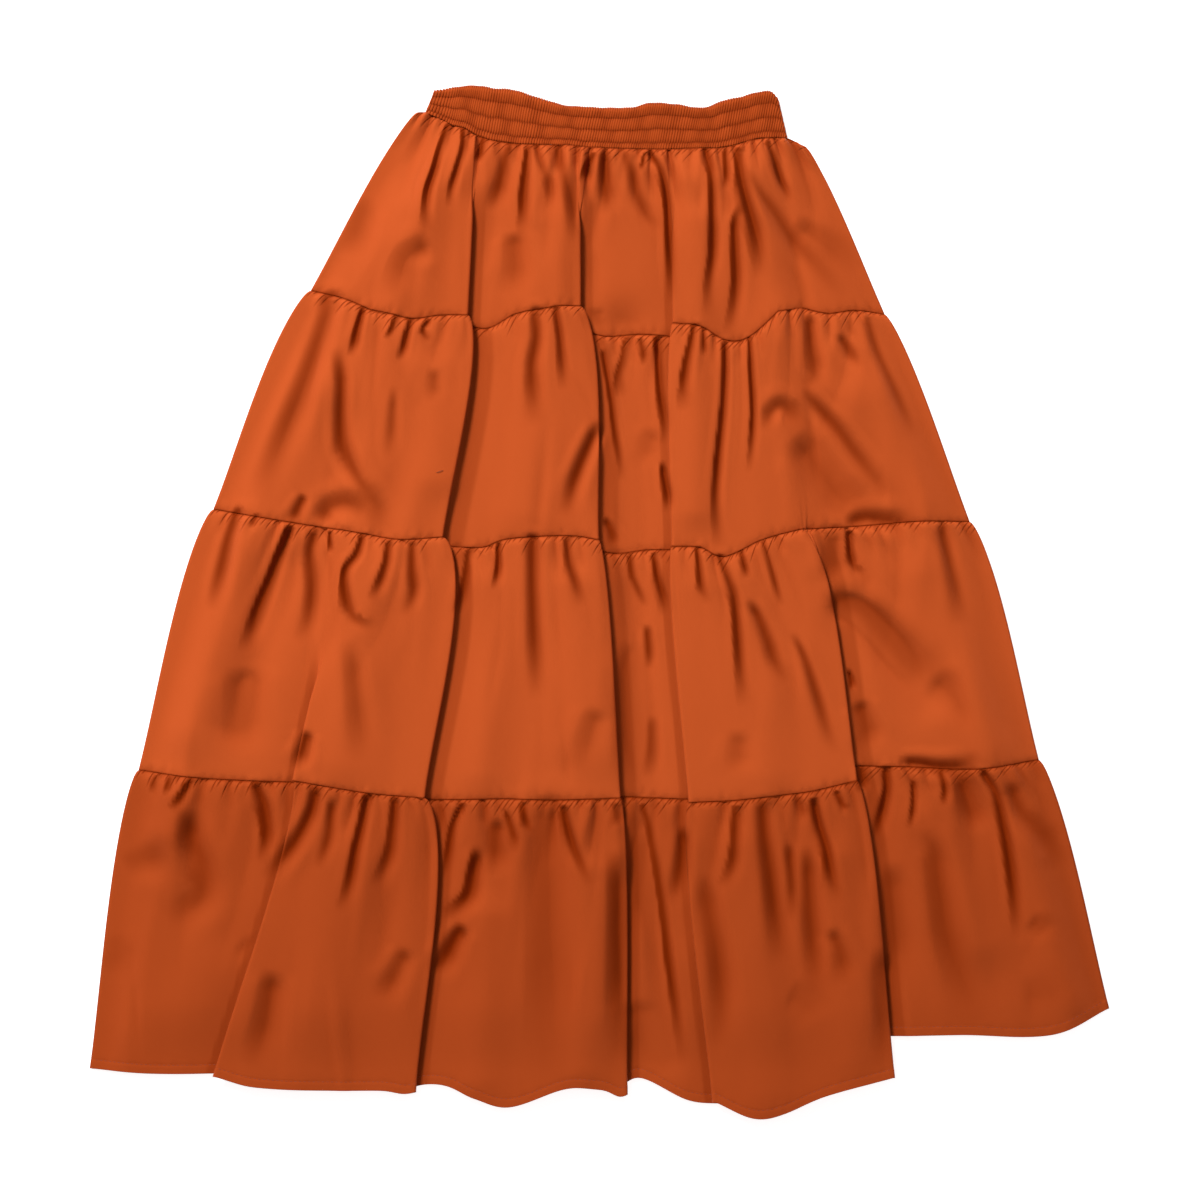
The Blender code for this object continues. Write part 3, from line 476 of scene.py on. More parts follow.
def route_distance(x: Array, y: Array, route: Array) -> tuple[Array, Array, Array]:
    """How far plan points are from a route, and where along it they are nearest.

    Args:
        x: Plan X of the points.
        y: Plan Y of the points.
        route: The route's own points, in order.

    Returns:
        The distance in metres, the place from 0 at the start to 1 at the end,
        and the cosine between the way off the route and the way to the light.
    """
    if len(route) > 2:
        dense = smooth_run(np.array(route)[None], [4] * (len(route) - 1))[0]
        route = np.concatenate([dense, np.array(route)[-1:]])
    starts, runs = route[:-1], np.diff(route, axis=0)
    lengths = np.linalg.norm(runs, axis=1)
    offset_x = x[..., None] - starts[:, 0]
    offset_y = y[..., None] - starts[:, 1]
    share = np.clip((offset_x * runs[:, 0] + offset_y * runs[:, 1]) / lengths**2, 0.0, 1.0)
    off_x, off_y = offset_x - share * runs[:, 0], offset_y - share * runs[:, 1]
    away = np.hypot(off_x, off_y)
    facing = (off_x * LIGHT_FROM[0] + off_y * LIGHT_FROM[1]) / (away + 1e-9)
    nearest = away.argmin(axis=-1)
    before = np.concatenate([[0.0], np.cumsum(lengths)[:-1]])
    along = before[nearest] + np.take_along_axis(share, nearest[..., None], -1)[..., 0] * lengths[nearest]
    lit_side = np.take_along_axis(facing, nearest[..., None], -1)[..., 0]
    return away.min(axis=-1), along / lengths.sum(), lit_side


def hollow(z: Array, along: Array, down: Array, reach: float = 0.007) -> Array:
    """How far down each point lies between its neighbours, about 0 on flat cloth and 1 in a sunken valley.

    It is the mean height at `reach` to the left, the right, up and down, less
    the height itself, over a third of `reach`.
    """
    total = np.zeros_like(z)
    level = down.mean(axis=1)
    for step in (-reach, reach):
        total += np.stack([np.interp(a + step, a, row) for a, row in zip(along, z)]) - z
        place = np.interp(level + step, level, np.arange(len(level)))
        low = np.minimum(place.astype(int), len(level) - 2)
        share = (place - low)[:, None]
        total += z[low] * (1 - share) + z[low + 1] * share - z
    return np.clip(total / 4 / (reach / 3), -1, 1)


@dataclass
class Sheet:
    """A grid of cloth: its middle surface, its thickness and its own coordinates.

    `points` is rows by columns by XYZ, from the top row down and from left to
    right.  `thickness` and `shade`, the painted shade, are given at each point.
    """

    points: Array
    thickness: Array
    across: Array
    down: Array
    shade: Array

    def directions(self) -> Array:
        """Unit directions through the wall: the cross product of the grid's two tangents."""
        across = np.gradient(self.points, axis=1)
        down = np.gradient(self.points, axis=0)
        through = np.cross(down, across)
        return through / (np.linalg.norm(through, axis=2, keepdims=True) + 1e-12)

    def mesh(self, name: str) -> bpy.types.Object:
        """Make a closed shell: the sheet moved out and in by half its thickness, and a rim.

        Args:
            name: The new piece's name.

        Returns:
            The piece, with a UV map "cloth" in metres and a point attribute "shade" of painted shade.
        """
        rows, columns = self.points.shape[:2]
        half = self.directions() * self.thickness[..., None] / 2
        count = rows * columns
        points = np.concatenate([(self.points + half).reshape(-1, 3), (self.points - half).reshape(-1, 3)])
        corner = (np.arange(rows - 1)[:, None] * columns + np.arange(columns - 1)).ravel()
        upper = np.stack([corner, corner + columns, corner + columns + 1, corner + 1], axis=1)
        top, foot = np.arange(columns), np.arange(count - columns, count)
        left, right = np.arange(rows) * columns, np.arange(rows) * columns + columns - 1
        rim = np.concatenate([top, right[1:], foot[-2::-1], left[-2:0:-1]])
        ahead = np.roll(rim, -1)
        wall = np.stack([rim, ahead, count + ahead, count + rim], axis=1)
        faces = np.concatenate([upper, upper[:, ::-1] + count, wall])
        piece = grid_object(name, points, faces)
        cloth = np.stack([self.across.ravel(), self.down.ravel()], axis=1)
        loops = np.concatenate([cloth, cloth])[faces.ravel()]
        uv = piece.data.uv_layers.new(name="cloth")
        uv.data.foreach_set("uv", loops.astype(np.float32).ravel())
        layer = piece.data.attributes.new("shade", "FLOAT", "POINT")
        layer.data.foreach_set("value", np.tile(self.shade.ravel(), 2).astype(np.float32))
        return piece

    def surface(self, row: Array, column: Array) -> Array:
        """Points on the sheet's upper face at fractional rows and columns."""
        upper = self.points + self.directions() * self.thickness[..., None] / 2
        r = np.clip(row, 0, upper.shape[0] - 1.001)
        c = np.clip(column, 0, upper.shape[1] - 1.001)
        r0, c0 = r.astype(int), c.astype(int)
        fr, fc = (r - r0)[:, None], (c - c0)[:, None]
        one = upper[r0, c0] * (1 - fc) + upper[r0, c0 + 1] * fc
        two = upper[r0 + 1, c0] * (1 - fc) + upper[r0 + 1, c0 + 1] * fc
        return one * (1 - fr) + two * fr


def grid_object(name: str, points: Array, faces: Array) -> bpy.types.Object:
    """Put points and quads into a new smooth mesh object at the origin."""
    mesh = bpy.data.meshes.new(name)
    mesh.from_pydata(points.tolist(), [], faces.tolist())
    mesh.shade_smooth()
    piece = bpy.data.objects.new(name, mesh)
    bpy.context.scene.collection.objects.link(piece)
    return piece


@dataclass
class Relief:
    """The shape that gathers, folds and creases press into the cloth.

    `hills` is a height over the plan and is the same for every layer, so that
    layers never cross.  `gathers` is small and follows the cloth itself.
    """

    left_side: Array
    right_side: Array
    base: float = 0.0064
    lowest: float = 0.0005
    side_fade: float = 0.045
    waist_fade: float = 0.070
    hem_fade: float = 0.060
    hem_share: float = 0.62
    ripple_count: int = 260
    ripple_seed: int = 5
    crease_scale: float = 1.35
    shade_strength: float = 1.3
    flank: float = 0.5
    seam_head: float = 0.1
    head_start: float = 0.6
    tail: float = 0.45
    shoulder: float = 0.22
    soft_flank: float = 1.5
    short: float = 7.0
    broad: float = 0.0078

    def edge_share(self, x: Array, y: Array) -> Array:
        """1 over the middle of the skirt, easing to 0 at the side seams and the waist."""
        from_left = x - np.interp(-y, -self.left_side[:, 1], self.left_side[:, 0])
        from_right = np.interp(-y, -self.right_side[:, 1], self.right_side[:, 0]) - x
        side = ease((np.minimum(from_left, from_right) + 0.004) / self.side_fade)
        waist = ease((self.left_side[0, 1] + 0.004 - y) / self.waist_fade)
        hem = self.hem_share + (1 - self.hem_share) * ease((y - self.left_side[-1, 1]) / self.hem_fade)
        return side * waist * hem

    def swells(self, x: Array, y: Array) -> Array:
        """Sum of the swells: height times exp(-(distance / half width)^2)."""
        total = np.zeros_like(x)
        for swell in SWELLS:
            away, _, _ = route_distance(x, y, np.array([swell.start, swell.end]))
            total += swell.height * np.exp(-((away / swell.half_width) ** 2))
        return total

    def ripples(self, x: Array, y: Array) -> Array:
        """Many faint long ripples, each turned to fan out from the waist."""
        rng = np.random.default_rng(self.ripple_seed)
        total = np.zeros_like(x)
        low, high = self.left_side[-1, 1], self.left_side[0, 1]
        for _ in range(self.ripple_count):
            place_y = rng.uniform(low, high)
            spread = np.interp(-place_y, -self.right_side[:, 1], self.right_side[:, 0])
            place_x = rng.uniform(-1, 1) * spread
            lean = place_x * 0.55 + rng.normal(0, 0.10)
            width, length = rng.uniform(0.005, 0.016), rng.uniform(0.020, 0.075)
            height = rng.normal(0, 0.00085)
            dx, dy = x - place_x, y - place_y
            norm = math.hypot(1.0, lean)
            along, over = (dy - lean * dx) / norm, (dx + lean * dy) / norm
            near = (np.abs(along) < 3 * length) & (np.abs(over) < 3 * width)
            total[near] += height * np.exp(-((along[near] / length) ** 2) - (over[near] / width) ** 2)
        return total

    def creases(self, x: Array, y: Array) -> tuple[Array, Array]:
        """Sum of the troughs, tapered along their routes, and the painted shade on their flanks.

        A trough's flank on the light's side is a steep ramp with a crisp top,
        (1 - u / reach), and its other flank is soft, exp(-(u / 1.5)^2).  The
        painted shade fills the steep flank, ends at its top and fades out below it.
        Broad or short troughs are shallower: depth goes with broad / half
        width and with length / (short * half width).
        """
        total, clear = np.zeros_like(x), np.ones_like(x)
        for crease in CREASES:
            half_width = crease.half_width * MM
            set_back = self.flank * half_width
            route = np.array(crease.route) * MM
            length = np.linalg.norm(np.diff(route, axis=0), axis=1).sum()
            route = route - set_back * np.array(LIGHT_FROM)
            slimness = min(1.0, length / (self.short * half_width)) * min(1.0, self.broad / half_width)
            depth = crease.depth * MM * slimness
            reach = 4 * half_width
            (low_x, low_y), (high_x, high_y) = route.min(axis=0) - reach, route.max(axis=0) + reach
            near = (x > low_x) & (x < high_x) & (y > low_y) & (y < high_y)
            if not near.any():
                continue
            away, along, lit_side = route_distance(x[near], y[near], route)
            taper = ease(self.head_start * (crease.head < self.seam_head) + along / crease.head)
            taper = taper * ease((1.0 - along) / self.tail)
            width = half_width * (0.75 + 0.5 * along)
            across = away / width
            steep = ease(0.5 + 1.1 * lit_side)
            ramp = np.clip(1 - across / crease.edge.value, 0, 1)
            trough = steep * ramp + (1 - steep) * np.exp(-((across / self.soft_flank) ** 2))
            shoulder = self.shoulder * np.exp(-((across - crease.edge.value - 0.6) ** 2))
            total[near] += depth * taper * (shoulder - trough)
            # Painted shade: darken the flank on the light's side, crisp at its top and soft below.
            toward = across * np.clip(2.0 * lit_side, -1, 1)
            soft = np.exp(-((np.minimum(toward - 0.5, 0) / 1.2) ** 2))
            rim = 1.0 + 0.6 * (crease.edge is Edge.SOFT)
            dark = soft * ease((rim + 0.35 - toward) / (0.30 + 1.1 * (crease.edge is Edge.SOFT)))
            dark *= np.exp(-((np.maximum(across - np.abs(toward), 0) / 0.9) ** 2))
            strength = min(1.0, self.shade_strength * depth / half_width)
            clear[near] *= 1 - strength * np.sqrt(taper) * dark
        return total * self.crease_scale, 1 - clear

    def hills(self, x: Array, y: Array) -> tuple[Array, Array]:
        """Height of the cloth over the plan, held above `lowest`, and the creases' painted shade."""
        troughs, shade = self.creases(x, y)
        height = self.base + self.swells(x, y) + troughs + self.ripples(x, y)
        return soft_floor(height * self.edge_share(x, y), self.lowest, 0.0004), shade

    @staticmethod
    def gathers(style: GatherStyle, along: Array, depth_down: Array, direction: int = 1) -> Array:
        """Tapered valleys that start at a seam and open out as they leave it.

        Each valley is -depth * taper * exp(-|distance / width|^1.3), and its
        width grows with the distance from the seam.

        Args:
            style: The ranges that the valleys are drawn from.
            along: Developed distance across the cloth at each point.
            depth_down: Distance from the seam at each point.
            direction: Unused rows lie past the seam when this is -1.

        Returns:
            The height that the valleys add.
        """
        rng = np.random.default_rng(style.seed)
        seam_row = along[0] if direction == 1 else along[-1]
        total = np.zeros_like(along)
        place = rng.uniform(*style.spacing)
        while place < seam_row[-1]:
            strength = rng.beta(1.2, 1.6)
            length = style.length[0] + (style.length[1] - style.length[0]) * strength**1.5
            share = 0.35 * rng.random() + 0.65 * strength
            depth = style.depth[0] + (style.depth[1] - style.depth[0]) * share
            drift, bow = rng.normal(0, 0.10), rng.normal(0, 1.2)
            column = np.interp(place, seam_row, np.arange(len(seam_row)))
            low = int(column)
            share = column - low
            centre = along[:, low] * (1 - share) + along[:, min(low + 1, len(seam_row) - 1)] * share
            away = along - centre[:, None] - drift * depth_down - bow * depth_down**2
            run = np.clip(depth_down / length, 0, 1)
            width = style.width[0] + (style.width[1] - style.width[0]) * (0.4 + 0.6 * strength) * run**0.7
            taper = (1 - run) ** 1.1
            taper = taper * (1 - np.exp(-depth_down / 0.0012))
            total -= depth * taper * np.exp(-(np.abs(away / width) ** 1.35))
            total += 0.38 * depth * taper * np.exp(-(((np.abs(away) - 2.1 * width) / (0.9 * width)) ** 2))
            place += rng.uniform(*style.spacing)
        return total


@dataclass
class SkirtFront:
    """The four front tiers: one cloth in a zigzag of five lengthwise folds."""

    wall: float = 0.0006
    seam_gap: float = 0.0005
    layer_pitch: float = 0.0034
    ceiling: float = 0.0218
    lowest_middle: float = 0.0021
    floor_middle: float = 0.00175
    band_middle: float = 0.0048
    waist_rise: float = 0.20
    local_limit: float = 0.0045
    narrow_limit: float = 0.0022
    press: float = 0.0018
    # The lee: the band of painted shadow beside a fold's edge, its widths and how dark it is.
    lee_widths: tuple[float, ...] = (0.012, 0.020, 0.017, 0.012)
    lee_narrow: float = 0.008
    lee_shade: float = 0.36
    tuck: float = 0.0014
    tuck_drop: float = 0.0013
    band_floor: float = 0.0032
    press_width: float = 0.018
    spread: float = 0.016
    roll_samples: int = 7
    full_overlap: float = 0.005
    open_width: float = 0.007
    # Painted shade over each whole tier, from the waist down: most on the last tier, some on the first.
    painted_shade_tone: tuple[float, ...] = (0.10, 0.02, 0.0, 0.33)
    columns: tuple[int, ...] = (390, 450, 510, 550)
    rows: tuple[int, ...] = (80, 84, 88, 88)
    belly_peak: float = 0.28
    belly_power: float = 2.0
    hem_turn: float = 0.008
    relief: Relief = field(init=False)

    def __post_init__(self) -> None:
        """Gather the fold lines' points into arrays and lay out the columns."""
        self.levels = np.array([line.levels() for line in FRONT_LINES])
        self.bellies = np.array([line.belly for line in FRONT_LINES])
        self.relief = Relief(self.levels[0], self.levels[-1])

    def belly(self, place: Array) -> Array:
        """How far a line has bowed out: a skewed hump with its peak at `belly_peak`."""
        p, k = self.belly_peak, self.belly_power
        place = np.maximum(place, 0)
        return (place / p) ** (k * p) * ((1 - place) / (1 - p)) ** (k * (1 - p))

    def plan(self, tier: int, place: Array) -> Array:
        """Plan points of every fold line, shaped rows by lines by XY."""
        top = self.levels[:, tier] - (0, self.seam_gap / 2)
        foot = self.levels[:, tier + 1] + (0, self.seam_gap / 2)
        if tier == TIERS - 1:
            foot = foot - (0, self.seam_gap / 2)
        points = top + (foot - top) * place[:, None, None]
        points[..., 0] += self.belly(place)[:, None] * self.bellies[:, tier]
        return points

    def places(self, tier: int) -> Array:
        """Rows down a tier, closer together by its seams and at the hem's turn."""
        length = float(np.mean(self.levels[:, tier, 1] - self.levels[:, tier + 1, 1]))
        tuck = [] if tier == 0 else [-self.tuck * 1000, -0.3]
        near = np.array([*tuck, 0, 0.5, 1.1, 1.9, 2.9, 4.1, 5.5, 7.1]) * 0.001 / length
        if tier == TIERS - 1:
            turn = self.hem_turn * 1000
            steps = np.array([0, 0.4, 1.2, 3, 5, turn - 1.3, turn - 0.6, turn, turn + 0.6, turn + 1.3])
        else:
            steps = np.array([0, 0.5, 1.1, 1.9, 2.9, 4.1, 5.5])
        far = 1 - (steps * 0.001 / length)[::-1]
        middle = np.linspace(near[-1], far[0], self.rows[tier] - len(near) - len(far) + 2)[1:-1]
        return np.concatenate([near, middle, far])

    def roll(self, number: int, plan: Array) -> Array:
        """A fold's round edge, rows by samples by (x, y, layer).

        A half circle of the layer pitch where the cloth overlaps, turning into
        a slope where it doesn't.
        """
        line = FRONT_LINES[number]
        first = number if FRONT_LINES[number + 1].turn is not NONE else number - 1
        overlap = plan[:, first, 0] - plan[:, first + 1, 0]
        radius = self.layer_pitch / 2
        tightness = np.clip(overlap / (2 * radius), -1, 1)[:, None]
        angle = np.linspace(-np.pi / 2, np.pi / 2, self.roll_samples)[None]
        bulge = line.turn.value * np.maximum(tightness, 0) * (np.cos(angle) - 1)
        slope = np.maximum(-tightness, 0) * np.sin(angle)
        x = plan[:, number, 0, None] + radius * (bulge + slope)
        y = np.repeat(plan[:, number, 1, None], self.roll_samples, axis=1)
        share = 0.04 + 0.92 * (np.sin(angle) + 1) / 2
        layer = line.layers[0] + (line.layers[1] - line.layers[0]) * share
        return np.stack([x, y, np.broadcast_to(layer, x.shape)], axis=2)

    def steps(self, tier: int) -> list[int]:
        """Steps between neighbouring fold lines, in proportion to their widths."""
        widths = np.abs(np.diff(self.levels[:, tier:tier + 2, 0], axis=0)).max(axis=1)
        spare = self.columns[tier] - self.roll_samples * sum(line.turn is not NONE for line in FRONT_LINES)
        return [max(3, round(spare * width / widths.sum())) for width in widths]

    def section(self, tier: int, place: Array) -> tuple[Array, Array]:
        """The folded cloth across the skirt, row by row.

        Args:
            tier: Which tier, from 0 at the waist.
            place: Rows down the tier, from 0 to 1.

        Returns:
            Rows by columns by (x, y, layer), and rows by columns of how closed
            the cloth is: 1 on a tight roll and on the layer hidden inside a
            fold, 0 where it lies open.
        """
        plan = self.plan(tier, place)
        steps = self.steps(tier)
        plain = np.array([line.layers[0] for line in FRONT_LINES])
        pieces: list[Array] = []
        closed: list[Array] = []
        run: list[Array] = []
        run_steps: list[int] = []
        tightness = np.zeros((len(place), 1))
        spans: list[tuple[int, int, Array]] = []
        start = 0
        hidden = False
        for number, line in enumerate(FRONT_LINES):
            if number:
                run_steps.append(steps[number - 1])
            if line.turn is NONE:
                layer = np.full((len(place), 1), plain[number])
                run.append(np.concatenate([plan[:, number], layer], axis=1))
                continue
            if not hidden:
                overlap = plan[:, number, 0] - plan[:, number + 1, 0]
                tightness = ease(overlap / self.full_overlap)[:, None]
            arc = self.roll(number, plan)
            run.append(arc[:, 0])
            pieces += [smooth_run(np.stack(run, axis=1), run_steps), arc[:, :-1]]
            closed.append(np.repeat(tightness * hidden, pieces[-2].shape[1], axis=1))
            closed.append(np.repeat(tightness, self.roll_samples - 1, axis=1))
            run, run_steps = [arc[:, -1]], []
            column = sum(piece.shape[1] for piece in pieces)
            if hidden:
                spans.append((start - 3, column + 3, tightness))
            else:
                start = column - self.roll_samples + 1
            hidden = not hidden
        pieces += [smooth_run(np.stack(run, axis=1), run_steps), run[-1][:, None]]
        closed.append(np.zeros((len(place), pieces[-2].shape[1] + 1)))
        sheet = np.concatenate(pieces, axis=1)
        for low, high, tight in spans:
            part = sheet[:, low:high + 1, :2]
            even = np.linspace(part[:, 0], part[:, -1], part.shape[1], axis=1)
            part += (even - part) * (1 - tight)[:, :, None]
        return sheet, np.concatenate(closed, axis=1)

    def settle(self, tier: int, place: Array, x: Array, layer: Array) -> tuple[Array, Array, Array]:
        """Spread each fold's rise where it lies open, and press the cloth under it down.

        Args:
            tier: Which tier.
            place: Rows down the tier.
            x: Plan X of the sheet's points.
            layer: Their layers, counted up from the surface.

        Returns:
            The settled layers, how near each point is to a closed fold, and
            where the under layer lies in a fold's lee, which gets painted shadow.
        """
        plan = self.plan(tier, place)
        near_fold, lee = np.zeros_like(x), np.zeros_like(x)
        turning = [number for number, line in enumerate(FRONT_LINES) if line.turn is not NONE]
        for first, second in zip(turning[::2], turning[1::2]):
            overlap = plan[:, first, 0] - plan[:, second, 0]
            middle = (plan[:, first, 0] + plan[:, second, 0]) / 2
            tight = ease(overlap / self.full_overlap)[:, None]
            away = x - middle[:, None]
            before, after = FRONT_LINES[first].layers[0], FRONT_LINES[second].layers[1]
            spread = before + (after - before) * ease(0.5 + away / (2 * self.spread))
            share = (1 - tight) * ease(1.6 - np.abs(away) / self.spread)
            layer = layer + (spread - layer) * share
            outside = np.maximum(np.abs(away) - np.maximum(overlap, 0)[:, None] / 2, 0)
            near = tight * np.exp(-((outside / self.press_width) ** 2))
            layer = layer - self.press / self.layer_pitch * near * np.clip(1 - layer, 0, 1)
            near_fold = np.maximum(near_fold, tight * ease(1.5 - outside / 0.008))
            # The under layer beside the top layer's free edge, later darkened as painted shadow.
            over_left = FRONT_LINES[first].layers[0] > 1
            edge = plan[:, first if over_left else second, 0, None]
            off = (x - edge) if over_left else (edge - x)
            width = self.lee_widths[tier] if over_left else self.lee_narrow
            band = ease(0.5 + off / 0.002) * ease((width - off) / (0.25 * width))
            lee = np.maximum(lee, tight * band * np.clip(1 - layer, 0, 1))
        return layer, near_fold, lee

    def local_relief(self, tier: int, along: Array, down: Array, length: Array, open_share: Array) -> Array:
        """Gathers, seam valleys and the hem's turn: what follows the cloth and not the plan."""
        up, down = length - down, np.maximum(down, 0)
        height = sum(self.relief.gathers(style, along, down) for style in GATHERS[tier])
        height += 0.0022 * (1 - np.exp(-down / 0.005)) * np.exp(-down / 0.030)
        height -= 0.0016 * np.exp(-((down / 0.0024) ** 1.3))
        if tier < TIERS - 1:
            height -= 0.0014 * np.exp(-((up / 0.0030) ** 1.2))
            style = replace(PUCKERS, seed=PUCKERS.seed + tier)
            height += self.relief.gathers(style, along, up, direction=-1)
        else:
            height -= 0.00020 * np.exp(-(((up - self.hem_turn) / 0.0009) ** 2))
            pucker = np.sin(along / 0.0023) * np.sin(along / 0.0171)
            height += 0.00012 * pucker * np.exp(-(((up - self.hem_turn) / 0.004) ** 2))
        return height * open_share

    def build_sheet(self, tier: int) -> Sheet:
        """One tier's front panel as a sheet.

        Args:
            tier: Which tier, from 0 at the waist.

        Returns:
            The panel's middle surface with its thickness.
        """
        place = self.places(tier)
        section, closed = self.section(tier, place)
        x, y, layer = np.moveaxis(section, 2, 0)
        if tier == TIERS - 1:
            for middle, drop, half_width in HEM_DIPS:
                y = y - drop * np.exp(-(((x - middle) / half_width) ** 2)) * place[:, None] ** 3
        rise = self.layer_pitch * np.diff(layer, axis=1)
        steps = np.hypot(np.hypot(np.diff(x, axis=1), np.diff(y, axis=1)), rise)
        along = np.concatenate([np.zeros((len(place), 1)), np.cumsum(steps, axis=1)], axis=1)
        down_steps = np.hypot(np.diff(x, axis=0), np.diff(y, axis=0))
        down = np.concatenate([np.zeros((1, x.shape[1])), np.cumsum(down_steps, axis=0)], axis=0)
        down -= down[np.searchsorted(place, -1e-6)]
        length = down[-1:]

        nearest = np.full_like(along, 1.0)
        for column in np.where(closed.max(axis=0) > 0)[0][::2]:
            free = 2 * self.open_width * (1 - closed[:, column, None])
            nearest = np.minimum(nearest, np.abs(along - along[:, column, None]) + free)
        open_share = ease(nearest / self.open_width) * (1 - closed)

        rise = ease(place / self.waist_rise)[:, None] if tier == 0 else np.ones((len(place), 1))
        layer, near_fold, under = self.settle(tier, place, x, layer)
        limit = self.local_limit + (self.narrow_limit - self.local_limit) * near_fold
        local = soft_limit(self.local_relief(tier, along, down, length, open_share), limit)
        # The hills come with the creases' painted shade.
        hills, painted_crease_shade = self.relief.hills(x, y)
        low = self.band_middle * (1 - rise) + self.lowest_middle * rise
        z = low + self.layer_pitch * layer * rise + hills + local
        z = z - self.tuck_drop * ease(-down / self.tuck)
        z = soft_floor(z, self.band_floor * (1 - rise) + self.floor_middle * rise, 0.00015)
        z = -soft_floor(-z, -self.ceiling, 0.0010)

        thickness = np.full_like(z, self.wall)
        if tier == TIERS - 1:
            turned = ease((self.hem_turn + 0.0004 - (length - down)) / 0.0008)
            thickness = thickness + 0.0003 * turned
        up = length - down
        # Painted shade along the seam lines: just below the top seam and just above the next.
        seams = np.exp(-((np.maximum(down, 0) / 0.0010) ** 2))
        if tier < TIERS - 1:
            seams = seams + np.exp(-((up / 0.0008) ** 2))
        # Painted shade in valley bottoms, by how far each point lies below its neighbours.
        valleys = np.maximum(hollow(z, along, down), 0)
        # All painted shade together: crease flanks, the fold lee, valleys and seam lines.
        clear = (1 - painted_crease_shade) * (1 - self.lee_shade * under) * (1 - 0.55 * valleys) * (1 - 0.8 * seams)
        # Each tier's own painted shade goes on top of the rest.
        shade = 1 - clear * (1 - self.painted_shade_tone[tier])
        return Sheet(np.stack([x, y, z], axis=2), thickness, along, down, shade)


@dataclass
class SkirtBack:
    """The four back tiers: they lie flat on the surface, under the front."""

    front: SkirtFront
    wall: float = 0.0006
    inset: float = 0.004
    middle: float = 0.00065
    gather_share: float = 0.22
    columns: int = 120
    rows: int = 36
    sag: tuple[float, ...] = (0.020, 0.012, 0.012, 0.012, 0.015)

    def edge(self, level: int) -> Array:
        """The back's line across at a level: straight between the side seams, sagging by a parabola."""
        along = np.linspace(0, 1, self.columns)
        left = self.front.levels[0, level] + (self.inset, 0)
        right = self.front.levels[-1, level] - (self.inset, 0)
        line = left + (right - left) * along[:, None]
        line[:, 1] -= self.sag[level] * 4 * along * (1 - along)
        if level == LEVELS - 1:
            line[:, 1] += self.inset
        return line

    def build_sheet(self, tier: int) -> Sheet:
        """One tier's back panel: flat, with shallow gathers below its seam."""
        length = float(np.mean(self.front.levels[:, tier, 1] - self.front.levels[:, tier + 1, 1]))
        place = np.linspace(0, 1, self.rows) ** 1.3
        gap = np.array((0, self.front.seam_gap / 2))
        top, foot = self.edge(tier) - gap, self.edge(tier + 1) + gap
        plan = top + (foot - top) * place[:, None, None]
        along = plan[..., 0] - plan[:, :1, 0]
        down = np.broadcast_to(place[:, None] * length, along.shape).copy()
        styles = [replace(style, seed=style.seed + 100) for style in GATHERS[tier]]
        gathers = sum(Relief.gathers(style, along, down) for style in styles)
        up = length - down
        seam = -0.0012 * np.exp(-down / 0.0025) - 0.0010 * np.exp(-up / 0.003)
        z = self.middle + soft_limit(self.gather_share * (gathers + seam), 0.0003)
        points = np.concatenate([plan, z[..., None]], axis=2)
        return Sheet(points, np.full_like(z, self.wall), along, down, np.zeros_like(z))


